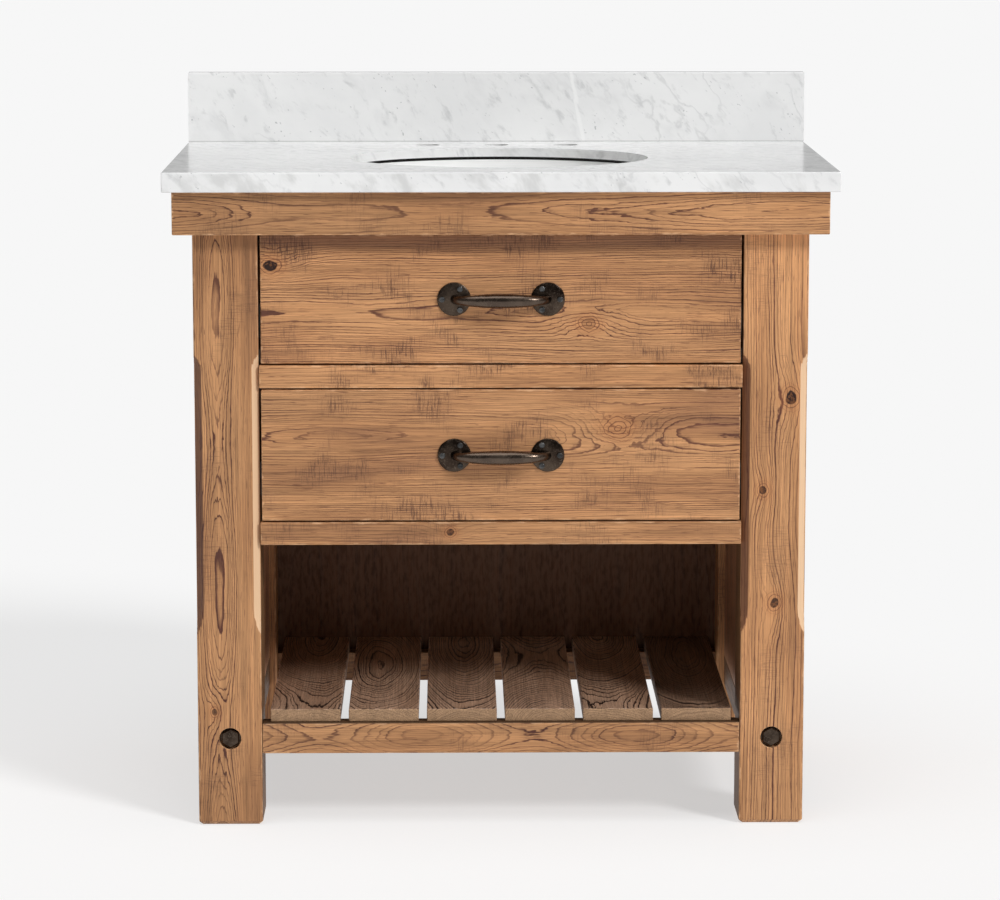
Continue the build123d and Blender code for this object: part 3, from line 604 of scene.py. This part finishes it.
def bronze():
    """Dark oil-rubbed bronze: brown patina, fine pits, and grips rubbed brighter by hands, which also
    paints a highlight on the bar's front.
    """
    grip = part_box("upper_handle")[0].y

    def build(g):
        at = g.place()
        patina = g.noise(at, (55.0,) * 3, detail=4.0)
        pits = g.noise(at, (420.0,) * 3, detail=3.0, rough=0.6)
        colour = g.mix(g.between(patina, 0.32, 0.68), (0.034, 0.023, 0.017), (0.085, 0.062, 0.046))
        colour = g.mix(g.between(pits, 0.52, 0.72, 0.0, 0.35), colour, (0.210, 0.165, 0.130))
        # The front of each grip is rubbed brighter, and this also stands in as a painted highlight on the
        # bar
        depth = g.plus(g.split(at)[1], g.times(g.minus(patina, 0.5), 0.014))
        worn = g.between(depth, grip + 20 * MM, grip + 6 * MM, 0.0, 0.34)
        colour = g.mix(worn, colour, (0.185, 0.140, 0.112))
        rough = g.plus(g.between(patina, 0.3, 0.7, 0.20, 0.30), g.between(pits, 0.4, 0.7, 0.0, 0.08))
        return colour, rough, g.weighted((patina, 0.6), (pits, 0.12)), 0.5 * MM
    return shader("oil_rubbed_bronze", build, Metallic=1.0)


def plated(name, dull, bright):
    """Plated steel with soft spangles and fine lines drawn from front to back."""
    def build(g):
        at = g.place()
        spangle = g.noise(at, (90.0,) * 3, detail=2.0)
        drawn = g.noise(at, (600.0, 14.0, 600.0), detail=2.0)
        colour = g.mix(g.between(spangle, 0.35, 0.65), (dull,) * 3, (bright,) * 3)
        return colour, g.between(drawn, 0.3, 0.7, 0.26, 0.42), drawn, 0.1 * MM
    return shader(name, build, Metallic=1.0)


# ---------------------------------------------------------------- meshes
def stations(length, edge, extra):
    """Grid lines along one side: close together over each rounded edge, then even cells."""
    rounded = [0.0, 0.3 * edge, 0.6 * edge, edge, 2.4 * edge]
    inner = length - 2 * rounded[-1]
    count = max(1, round(inner / CELL))
    middle = [rounded[-1] + inner * i / count for i in range(1, count)]
    lines = sorted([*rounded, *middle, *(length - r for r in rounded), *extra])
    kept = lines[:1]
    for line in lines[1:]:
        if line - kept[-1] > LEAST_CELL:
            kept.append(line)
    return kept


def shell(lines):
    """The surface of a box whose three sides are divided at these lines: points and quads."""
    index, points, quads = {}, [], []

    def vertex(key):
        if key not in index:
            index[key] = len(points)
            points.append(Vector([lines[a][key[a]] for a in range(3)]))
        return index[key]

    for axis in range(3):
        u, v = (axis + 1) % 3, (axis + 2) % 3
        for level in (0, len(lines[axis]) - 1):
            for i in range(len(lines[u]) - 1):
                for j in range(len(lines[v]) - 1):
                    ring = []
                    for di, dj in ((0, 0), (1, 0), (1, 1), (0, 1)):
                        key = [0, 0, 0]
                        key[axis], key[u], key[v] = level, i + di, j + dj
                        ring.append(vertex(tuple(key)))
                    quads.append(ring if level else ring[::-1])
    return points, quads


def unevenness(p, bumps, seed):
    """Smooth noise from 0 to 1 at a point, with this many bumps in a metre."""
    return 0.5 + 0.5 * noise.noise(Vector((p.x * bumps, p.y * bumps, p.z * bumps + seed)))


def softened(p, size, edge, seed):
    """A point of a box's surface, moved in to round and wear its edges and to wave its faces."""
    local = edge * (1 - EDGE_WEAR * unevenness(p, EDGE_BUMPS_PER_METRE, seed))
    core = Vector([min(max(c, local), s - local) for c, s in zip(p, size)])
    out = p - core
    if out.length > 0:
        p = core + out.normalized() * local
        p = p - out.normalized() * (WAVINESS * unevenness(p, WAVES_PER_METRE, seed))
    return p


def rim_of(p, size):
    """Distance from a point of a box's surface to the nearest edge, 0 to 1 over the rim's width."""
    gaps = sorted(min(c, s - c) for c, s in zip(p, size))
    return min(1.0, gaps[1] / RIM_WIDTH)


def mesh_piece(name, points, faces, rims=None):
    """A smooth mesh object. rims holds one value per point for the wood's worn edges and for its
    chamfers' painted highlight and painted shade.
    """
    mesh = bpy.data.meshes.new(name)
    mesh.from_pydata([tuple(p) for p in points], [], faces)
    mesh.validate()
    if rims:
        mesh.attributes.new("rim", "FLOAT", "POINT").data.foreach_set("value", rims)
    mesh.shade_smooth()
    piece = bpy.data.objects.new(name, mesh)
    bpy.context.scene.collection.objects.link(piece)
    return piece


def even_normals(piece, angle=35):
    """Keeps flat faces flat up to their rounded edges."""
    piece.data.set_sharp_from_angle(angle=math.radians(angle))
    modifier = piece.modifiers.new("even_normals", "WEIGHTED_NORMAL")
    modifier.keep_sharp = True


def board(name, low, high, seed, edge=EDGE, extra=((), (), ()), shape=None):
    """A worn board between two corners. shape(point, size) moves a point further, if given.

    A point that shape moves to the left lies on a right-hand chamfer, which is worn pale and
    brightened with painted highlight. One that it moves to the right lies on a left-hand chamfer,
    which is darkened with painted shade.
    """
    size = high - low
    lines = [stations(s, edge, e) for s, e in zip(size, extra)]
    points, quads = shell(lines)
    rims, moved = [], []
    for p in points:
        rim = rim_of(p, size)
        q = softened(p, size, edge, seed)
        if shape:
            shaped = shape(q, size)
            if shaped.x < q.x - CHAMFER_LEAST and shaped.y > q.y:
                rim = CHAMFER_WORN_AND_LIT
            elif shaped.x > q.x + CHAMFER_LEAST and shaped.y > q.y:
                rim = CHAMFER_PAINTED_SHADE
            q = shaped
        rims.append(rim)
        moved.append(low + q)
    return mesh_piece(name, moved, quads, rims)


def fitted(piece, material, node, body="cabinet"):
    """Gives a piece its material and body, and lets it stand for its CAD node."""
    piece.data.materials.clear()
    piece.data.materials.append(material)
    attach(piece, body)
    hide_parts(node)


def tube(name, rings, left_handed=False):
    """A closed solid through rings of points, which turn one way or the other as they run."""
    sides = len(rings[0])
    faces = []
    for row in range(1, len(rings)):
        for i in range(sides):
            j = (i + 1) % sides
            a, b = (row - 1) * sides, row * sides
            faces.append([a + i, b + i, b + j, a + j] if left_handed else [a + i, a + j, b + j, b + i])
    first = list(range(sides))
    last = [(len(rings) - 1) * sides + i for i in first]
    faces += [first, last[::-1]] if left_handed else [first[::-1], last]
    return mesh_piece(name, [point for ring in rings for point in ring], faces)


def drill(start, end, radius, sides=40):
    """A round rod that is taken out of a piece."""
    along = (end - start).normalized()
    side = along.orthogonal().normalized()
    other = along.cross(side)
    turns = [2 * math.pi * i / sides for i in range(sides)]
    around = [(side * math.cos(turn) + other * math.sin(turn)) * radius for turn in turns]
    return tube("drill", [[base + away for away in around] for base in (start, end)])


def combined(piece, other, operation):
    """Applies one exact boolean to a piece and removes the other object."""
    modifier = piece.modifiers.new("cut", "BOOLEAN")
    modifier.operation = operation
    modifier.solver = "EXACT"
    modifier.object = other
    shown = bpy.context.evaluated_depsgraph_get()
    mesh = bpy.data.meshes.new_from_object(piece.evaluated_get(shown))
    piece.modifiers.remove(modifier)
    piece.data = mesh
    bpy.data.objects.remove(other)


def drilled(piece, holes):
    """Drills round holes, each given as its start, its end and its radius."""
    for start, end, radius in holes:
        combined(piece, drill(Vector(start), Vector(end), radius), "DIFFERENCE")


# ---------------------------------------------------------------- frame of the cabinet
SIDES = ("left", "right")
DRAWERS = ("upper", "lower")
LEG = {end: {side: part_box(f"leg_{end}_{side}") for side in SIDES} for end in ("front", "rear")}
INNER_LEFT = LEG["front"]["left"][1].x
INNER_RIGHT = LEG["front"]["right"][0].x


def chamfer_at(z):
    """Width of a front leg's stopped chamfer at one height."""
    if z < CHAMFER_LOW or z > CHAMFER_HIGH:
        return 0.0
    below = max(0.0, CHAMFER_LOW + RUNOUT_LOW - z) / RUNOUT_LOW
    above = max(0.0, z - CHAMFER_HIGH + RUNOUT_HIGH) / RUNOUT_HIGH
    return CHAMFER_WIDTH * (1 - max(below, above) ** 2)


def pressed(gap_a, gap_b, width):
    """How far a point moves along both faces to lie on the bevel between them."""
    return max(0.0, (width - gap_a - gap_b) / 2)


def leg_shape(end):
    """The function that cuts a leg's foot bevels and, on a front leg, its two stopped chamfers."""
    def shape(p, size):
        p = p.copy()
        if end == "front":
            bump = noise.noise(Vector((0.0, 0.0, p.z * CHAMFER_BUMPS_PER_METRE)))
            width = chamfer_at(p.z) * (1 + CHAMFER_UNEVENNESS * bump)
            left = pressed(p.x, p.y, width)
            right = pressed(size.x - p.x, p.y, width)
            p.x += left - right
            p.y += left + right
        for axis in (0, 1):
            low = pressed(p[axis], p.z, FOOT_BEVEL)
            high = pressed(size[axis] - p[axis], p.z, FOOT_BEVEL)
            p[axis] += low - high
            p.z += max(low, high)
        return p
    return shape


def leg_lines():
    """Extra grid lines, so that the chamfers and their run-outs keep their shape."""
    side = LEG["front"]["left"][1].x - LEG["front"]["left"][0].x
    steps = [CHAMFER_WIDTH * k for k in (0.25, 0.5, 0.75, 1.0)] + [FOOT_BEVEL]
    heights = [CHAMFER_LOW + RUNOUT_LOW * k / 8 for k in range(9)]
    heights += [CHAMFER_HIGH - RUNOUT_HIGH * k / 6 for k in range(7)]
    heights += [FOOT_BEVEL * k for k in (0.33, 0.66, 1.0)]
    return (steps + [side - s for s in steps], steps, heights)


# The front legs' shade darkens their inner sides as painted shade.
LEG_LOOKS = {
    ("front", "left"): dict(seed=3.1, level=0.84, pith=(-0.012, -0.034), ring=2.3 * MM, wander=0.007,
                            bow=(0.011, 0.285, 0.40), contrast=2.1, plain=(0.008, 0.018), stain=0.35,
                            knots=((-0.281, -0.021, 4 * MM, 0.7),), ticks=0.35,
                            fades=((-0.30, -0.42, 0.84),), shade=(0.0433, 0.0442, 0.38)),
    ("front", "right"): dict(seed=8.4, pith=(0.060, -0.020), ring=4.2 * MM, wander=0.026, contrast=1.4,
                             stain=0.25, knots=((0.156, 0.021, 7 * MM, 1.0), (0.028, -0.015, 5 * MM, 0.9),
                                                (-0.129, 0.002, 6 * MM, 0.9)),
                             ticks=0.30, fades=((0.16, 0.34, 1.28), (-0.28, -0.42, 0.84)),
                             shade=(-0.0433, -0.0442, 0.36)),
    ("rear", "left"): dict(seed=12.7, pith=(0.03, -0.04), ring=2.5 * MM, wander=0.022),
    ("rear", "right"): dict(seed=17.9, pith=(-0.05, -0.03), ring=2.7 * MM, wander=0.020),
}


def legs():
    """Four legs, each with a counterbore for its frame bolt."""
    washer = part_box("bolt_washers")
    for (end, side), look in LEG_LOOKS.items():
        low, high = LEG[end][side]
        centre = (low + high) / 2
        node = f"leg_{end}_{side}"
        piece = board(f"{node}_post", low, high, look["seed"], LEG_EDGE, leg_lines(), leg_shape(end))
        z = (washer[0].z + washer[1].z) / 2
        face = low.y if end == "front" else high.y
        inward = 1 if end == "front" else -1
        start = (centre.x, face - DRILL_START * inward, z)
        stop = (centre.x, face + COUNTERBORE_DEPTH * inward, z)
        drilled(piece, [(start, stop, COUNTERBORE_RADIUS)])
        even_normals(piece)
        fitted(piece, pine(f"pine_{node}", "up_front", centre, **look), node)


# node: (how it lies, its look). The rails across the cabinet show only between the legs.
BOARD_LOOKS = {
    "apron_front": ("across_front", dict(seed=21.3, level=0.97, pith=(0.002, 0.006), ring=2.8 * MM,
                                         wander=0.014, bow=(0.016, 0.33, 0.90), ticks=0.4,
                                         fades=((0.35, -0.45, 0.74),))),
    "apron_left": ("back_side", dict(seed=24.6, pith=(0.05, 0.04))),
    "apron_right": ("back_side", dict(seed=27.2, pith=(-0.04, 0.05))),
    "front_top_rail": ("across_front", dict(seed=29.5)),
    "rear_top_rail": ("across_front", dict(seed=31.8, pith=(0.03, 0.05), contrast=0.8)),
    "middle_rail": ("across_front", dict(seed=34.4, pith=(0.05, 0.02), ring=3.6 * MM, wander=0.018,
                                         contrast=0.6, stain=0.25, ticks=0.9)),
    "lower_rail": ("across_front", dict(seed=37.0, level=0.86, pith=(-0.05, 0.02), ring=3.8 * MM,
                                        wander=0.020, contrast=0.9, stain=0.4,
                                        knots=((-0.0695, 0.002, 4.5 * MM, 0.9),))),
    # The front bottom rail's shade darkens its top face as painted shade between the slats.
    "bottom_rail_front": ("across_front", dict(seed=41.6, level=0.81, pith=(0.004, 0.006),
                                               ring=3.0 * MM, wander=0.012, bow=(0.016, -0.10, 0.29),
                                               contrast=1.35, stain=0.25, ticks=0.3,
                                               shade=(0.0200, 0.0212, 0.22))),
    # The rear and side bottom rails are dark at these low levels as painted shade under the slats.
    "bottom_rail_rear": ("across_front", dict(seed=44.1, level=0.38, pith=(0.02, 0.05))),
    "bottom_rail_left": ("back_side", dict(seed=46.3, level=0.32, pith=(0.03, 0.05))),
    "bottom_rail_right": ("back_side", dict(seed=48.8, level=0.32, pith=(-0.03, 0.05))),
    "side_panel_left": ("up_side", dict(seed=51.2, pith=(0.02, 0.06), ring=4 * MM, wander=0.06)),
    "side_panel_right": ("up_side", dict(seed=54.9, pith=(-0.03, -0.06), ring=4 * MM, wander=0.06)),
    "side_lining_left": ("up_side", dict(seed=57.5, tone=LINING, level=1.35, pith=(0.0, 0.05),
                                         wander=0.05)),
    "side_lining_right": ("up_side", dict(seed=59.4, tone=LINING, pith=(0.03, 0.05), wander=0.05)),
}


def between_legs(node):
    """The corners of a board, without the tenons that go into the legs."""
    low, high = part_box(node)
    if low.x < INNER_LEFT < high.x and not node.startswith("apron"):
        low, high = low.copy(), high.copy()
        low.x, high.x = INNER_LEFT, INNER_RIGHT
    return low, high


def rail_holes(node, low, high):
    """Holes in a rail that show: the slat screws' heads from below, or the wall fixings."""
    if node == "rear_top_rail":
        mount = next(m for m in frame["record"]["mounts"] if m["name"] == "wall_fixing")
        half = mount["dims"]["spacing_x_mm"] * MM / 2
        z = mount["pos_m"][2]
        start, stop = low.y - DRILL_START, high.y + DRILL_START
        return [((x, start, z), (x, stop, z), WALL_FIXING_RADIUS) for x in (-half, half)]
    if node in ("bottom_rail_front", "bottom_rail_rear"):
        front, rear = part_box("slat_screws")
        y = front.y + SCREW_HEAD_RADIUS if node == "bottom_rail_front" else rear.y - SCREW_HEAD_RADIUS
        start, stop = low.z - DRILL_START, low.z + SCREW_HEAD_DEPTH
        slats = [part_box(f"slat_{i}") for i in range(1, len(SLAT_LOOKS) + 1)]
        places = [(a.x + b.x) / 2 for a, b in slats]
        return [((x, y, start), (x, y, stop), SCREW_HEAD_RADIUS) for x in places]
    return []


def boards():
    """The rails, aprons, side panels and linings."""
    for node, (lay, look) in BOARD_LOOKS.items():
        low, high = between_legs(node)
        edge = min(EDGE, (high.y - low.y) / THICKNESS_TO_EDGE)
        piece = board(f"{node}_board", low, high, look["seed"], edge)
        drilled(piece, rail_holes(node, low, high))
        even_normals(piece)
        fitted(piece, pine(f"pine_{node}", lay, (low + high) / 2, **look), node)


# Across-face place of the pith, its least depth, its nearest place along and the level of each slat
SLAT_LOOKS = (
    (0.008, 0.020, 0.26, 0.98),
    (-0.012, 0.022, 0.04, 0.98),
    (0.004, 0.019, 0.20, 1.00),
    (0.012, 0.024, -0.40, 1.00),
    (-0.010, 0.021, 0.28, 0.98),
    # Slat 6's low level is the right leg's painted shadow.
    (0.008, 0.023, 0.12, 0.56),
)


def shelf():
    """The slats, grey-brown on top and pale at their sawn ends."""
    for i, (across, depth, nearest, level) in enumerate(SLAT_LOOKS, 1):
        node = f"slat_{i}"
        low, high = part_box(node)
        seed = 60.0 + 3.3 * i
        piece = board(f"{node}_board", low, high, seed)
        even_normals(piece)
        look = dict(seed=seed, tone=SHELF, level=level, pith=(across, (high.z - low.z) / 2 - depth),
                    ring=2.9 * MM, wander=0.024, bow=(-0.075, nearest, 1.00), contrast=2.3, stain=0.3,
                    ticks=0.3, end=((high.y - low.y) / 2, SLAT_END))
        fitted(piece, pine(f"pine_{node}", "shelf", (low + high) / 2, **look), node)


DRAWER_LOOKS = {
    # The upper front's dark band along its top is stain and the apron's painted shadow.
    "upper": dict(seed=81.7, pith=(-0.018, 0.0072), ring=3.1 * MM, wander=0.022, bow=(0.012, 0.16, 0.95),
                  contrast=1.35, stain=0.45, ticks=0.8, band=(0.060, 0.078, 0.58),
                  knots=((-0.312, 0.046, 7 * MM, 1.0), (0.120, -0.034, 7 * MM, 0.25))),
    "lower": dict(seed=86.2, level=0.97, pith=(0.026, 0.008), ring=2.8 * MM, wander=0.024,
                  bow=(0.012, -0.20, 1.00), contrast=1.05, stain=0.50, ticks=0.7,
                  knots=((0.160, 0.038, 9 * MM, 0.0),), fades=((0.10, -0.33, 0.88),)),
}


def drawer_fronts():
    """The two solid fronts, each of which moves with its drawer."""
    for drawer, look in DRAWER_LOOKS.items():
        node = f"{drawer}_drawer_front"
        low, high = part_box(node)
        piece = board(f"{drawer}_front_board", low, high, look["seed"])
        even_normals(piece)
        material = pine(f"pine_{node}", "across_front", (low + high) / 2, **look)
        fitted(piece, material, node, f"{drawer}_drawer")


# ---------------------------------------------------------------- handles
def rosette_profile():
    """Foot, thin rounded edge and low dome of a rosette, as radius and height."""
    profile = [
        (ROSETTE_RADIUS, 0.0),
        (ROSETTE_RADIUS, 0.55 * ROSETTE_EDGE),
        (ROSETTE_RADIUS - 0.35 * MM, 0.85 * ROSETTE_EDGE),
        (ROSETTE_RADIUS - 1.1 * MM, ROSETTE_EDGE),
    ]
    for k in (0.85, 0.65, 0.45, 0.25, 0.10):
        height = ROSETTE_EDGE + (ROSETTE_DOME - ROSETTE_EDGE) * (1 - k * k)
        profile.append((ROSETTE_RADIUS * k, height))
    return profile


def plate(seat, sides=72):
    """A rosette with its foot at seat: its profile turned round the way out of the drawer front."""
    rings = []
    for radius, height in rosette_profile():
        ring = []
        for i in range(sides):
            turn = 2 * math.pi * i / sides
            away = Vector((math.cos(turn), 0, math.sin(turn)))
            bump = 0.5 + 0.5 * noise.noise(away * 3.1 + seat * 40)
            reach = radius * (1 - ROSETTE_UNEVENNESS * bump)
            ring.append(seat + away * reach + Vector((0, -height, 0)))
        rings.append(ring)
    return tube("plate", rings)


def bar(name, centre, rows=64, sides=36):
    """The grip: a tube that leaves one rosette, swells at its middle and returns to the other."""
    half = HANDLE_CENTRES / 2
    rings = []
    for row in range(rows + 1):
        t = 2 * row / rows - 1
        x = half * math.copysign(1 - (1 - abs(t)) ** BAR_SPREAD, t)
        out = BAR_STANDOFF * (1 - abs(t) ** BAR_SQUARENESS)
        slope_x = half * BAR_SPREAD * (1 - abs(t)) ** (BAR_SPREAD - 1) + 1e-5
        slope_out = -BAR_STANDOFF * BAR_SQUARENESS * t * abs(t) ** (BAR_SQUARENESS - 2)
        along = Vector((slope_x, -slope_out, 0)).normalized()
        across = Vector((along.y, -along.x, 0))
        swell = max(0.0, 1 - (abs(x) / (half * BAR_SWELL)) ** 2)
        radius = BAR_END_RADIUS + (BAR_MIDDLE_RADIUS - BAR_END_RADIUS) * swell
        ring = []
        for i in range(sides):
            turn = 2 * math.pi * i / sides
            spot = Vector((x * BAR_BUMPS_PER_METRE, math.cos(turn) * 1.4, math.sin(turn) * 1.4))
            bump = noise.noise(spot)
            away = across * (BAR_FLATNESS * math.cos(turn)) + Vector((0, 0, math.sin(turn)))
            ring.append(centre + Vector((x, -out, 0)) + away * radius * (1 + BAR_UNEVENNESS * bump))
        rings.append(ring)
    return tube(name, rings, left_handed=True)


def handles(metal):
    """A handle on each drawer: the bar and its two rosettes, as one piece."""
    for drawer in DRAWERS:
        node = f"{drawer}_handle"
        low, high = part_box(node)
        centre = Vector(((low.x + high.x) / 2, high.y, (low.z + high.z) / 2))
        piece = bar(f"{node}_pull", centre)
        for side in (-1, 1):
            seat = centre + Vector((side * HANDLE_CENTRES / 2, 0, 0))
            combined(piece, plate(seat), "UNION")
        even_normals(piece, angle=50)
        fitted(piece, metal, node, f"{drawer}_drawer")


# ---------------------------------------------------------------- carried-over CAD nodes
def finish_node(node, material, bevel):
    """A CAD node keeps its shape. Its sharp edges get a small bevel, if one is given."""
    piece = frame["nodes"][node]
    piece.data.materials.clear()
    piece.data.materials.append(material)
    if bevel:
        eased = piece.modifiers.new("eased", "BEVEL")
        eased.width = bevel
        eased.segments = 2
        eased.limit_method = "ANGLE"
        eased.angle_limit = math.radians(50)
        eased.harden_normals = True


# The look that the drawer boxes and the battens share
PLYWOOD = dict(tone=BIRCH, ring=13 * MM, wander=0.05, contrast=0.55, stain=0.08, ticks=0)


def inner_boards():
    """How the boards inside the cabinet lie, and their looks."""
    looks = {
        "back_panel": ("up_front", dict(seed=91.1, tone=PAINTED_RECESS_SHADE, pith=(0.1, 0.14), ring=18 * MM,
                                        wander=0.10, contrast=0.7, stain=0.2, ticks=0)),
        "runner_battens": ("back_side", dict(PLYWOOD, seed=93.3)),
        "corner_blocks": ("across_front", dict(PLYWOOD, seed=95.2)),
        "upper_box_inner_sides": ("back_side", dict(PLYWOOD, seed=109.0)),
        "upper_box_bottoms": ("shelf", dict(PLYWOOD, seed=111.0)),
        "lower_box_notch": ("back_side", dict(PLYWOOD, seed=113.0)),
        "lower_box_bottom": ("shelf", dict(PLYWOOD, seed=115.0)),
    }
    for drawer in DRAWERS:
        looks[f"{drawer}_box_front"] = ("across_front", dict(PLYWOOD, seed=101.0))
        looks[f"{drawer}_box_side_left"] = ("back_side", dict(PLYWOOD, seed=104.0))
        looks[f"{drawer}_box_side_right"] = ("back_side", dict(PLYWOOD, seed=105.0))
        looks[f"{drawer}_box_backs"] = ("across_front", dict(PLYWOOD, seed=107.0))
    return looks


def carried_over(stone, glaze, metal):
    """The CAD nodes that are shown as they are, each with its material."""
    bright = plated("zinc_steel", 0.53, 0.67)
    black = plated("black_zinc_steel", 0.055, 0.11)
    worn = plated("worn_screw_steel", 0.060, 0.145)
    for node in ("countertop", "backsplash"):
        finish_node(node, stone, bevel=0)
    finish_node("sink_bowl", glaze, bevel=0)
    for node in ("upper_handle_screws", "lower_handle_screws"):
        finish_node(node, worn, bevel=0.2 * MM)
    finish_node("bolt_washers", metal, bevel=0.2 * MM)
    finish_node("frame_bolts", metal, bevel=0.7 * MM)
    for node in ("barrel_nuts", "slat_screws", "sink_clips"):
        finish_node(node, bright, bevel=0.2 * MM)
    for drawer in DRAWERS:
        for member in ("outer", "middle", "inner"):
            finish_node(f"slide_{member}_{drawer}", black, bevel=0.2 * MM)
    for node, (lay, look) in inner_boards().items():
        low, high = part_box(node)
        finish_node(node, pine(f"pine_{node}", lay, (low + high) / 2, **look), bevel=0.6 * MM)


# ---------------------------------------------------------------- stage
def sun(name, towards, strength, spread):
    """A sun as seen in the direction towards. spread is its width in degrees."""
    lamp = bpy.data.lights.new(name, "SUN")
    lamp.energy = strength
    lamp.angle = math.radians(spread)
    piece = bpy.data.objects.new(name, lamp)
    piece.rotation_euler = Vector(towards).to_track_quat("Z", "Y").to_euler()
    bpy.context.scene.collection.objects.link(piece)


def floor():
    """A pale floor that glows a little, so that it fades into the surround."""
    half = FLOOR_SIZE / 2
    corners = [(-half, -half, 0), (half, -half, 0), (half, half, 0), (-half, half, 0)]
    piece = mesh_piece("floor", [Vector(c) for c in corners], [[0, 1, 2, 3]])
    white = bpy.data.materials.new("floor_white")
    white.use_nodes = True
    paint = white.node_tree.nodes["Principled BSDF"]
    paint.inputs["Base Color"].default_value = (FLOOR_WHITE, FLOOR_WHITE, FLOOR_WHITE, 1.0)
    paint.inputs["Roughness"].default_value = FLOOR_ROUGHNESS
    paint.inputs["Specular IOR Level"].default_value = 0.0
    paint.inputs["Emission Color"].default_value = (1.0, 1.0, 1.0, 1.0)
    paint.inputs["Emission Strength"].default_value = FLOOR_GLOW
    piece.data.materials.append(white)


def sky():
    """A white surround to look at, which lights the scene less than it shows."""
    world = bpy.data.worlds.new("studio")
    world.use_nodes = True
    bpy.context.scene.world = world
    g = Graph(world.node_tree)
    seen = g.add("ShaderNodeLightPath").outputs["Is Camera Ray"]
    shown = g.add("ShaderNodeBackground", {"Color": (1, 1, 1, 1), "Strength": SKY_SEEN})
    light = g.add("ShaderNodeBackground", {"Color": (1, 1, 1, 1), "Strength": SKY_LIGHT})
    both = g.add("ShaderNodeMixShader", {0: seen, 1: light.outputs[0], 2: shown.outputs[0]})
    g.add("ShaderNodeOutputWorld", {0: both.outputs[0]})


def camera():
    """The camera at the photograph's viewing angle."""
    data = bpy.data.cameras.new("camera")
    data.lens = CAMERA_LENS
    data.sensor_width = SENSOR_WIDTH
    data.clip_end = FAR_CLIP
    piece = bpy.data.objects.new("camera", data)
    piece.location = CAMERA_PLACE
    piece.rotation_euler = (math.radians(90 + CAMERA_PITCH), 0.0, math.radians(-CAMERA_YAW))
    bpy.context.scene.collection.objects.link(piece)
    bpy.context.scene.camera = piece


def stage():
    """The camera, floor, surround and lights, with colours shown as they are."""
    camera()
    floor()
    sky()
    sun("key_sun", **KEY_SUN)
    sun("top_sun", **TOP_SUN)
    bpy.context.scene.view_settings.view_transform = "Standard"


# ---------------------------------------------------------------- all together
stage()
dark_metal = bronze()
legs()
boards()
shelf()
drawer_fronts()
handles(dark_metal)
carried_over(marble(), ceramic(), dark_metal)
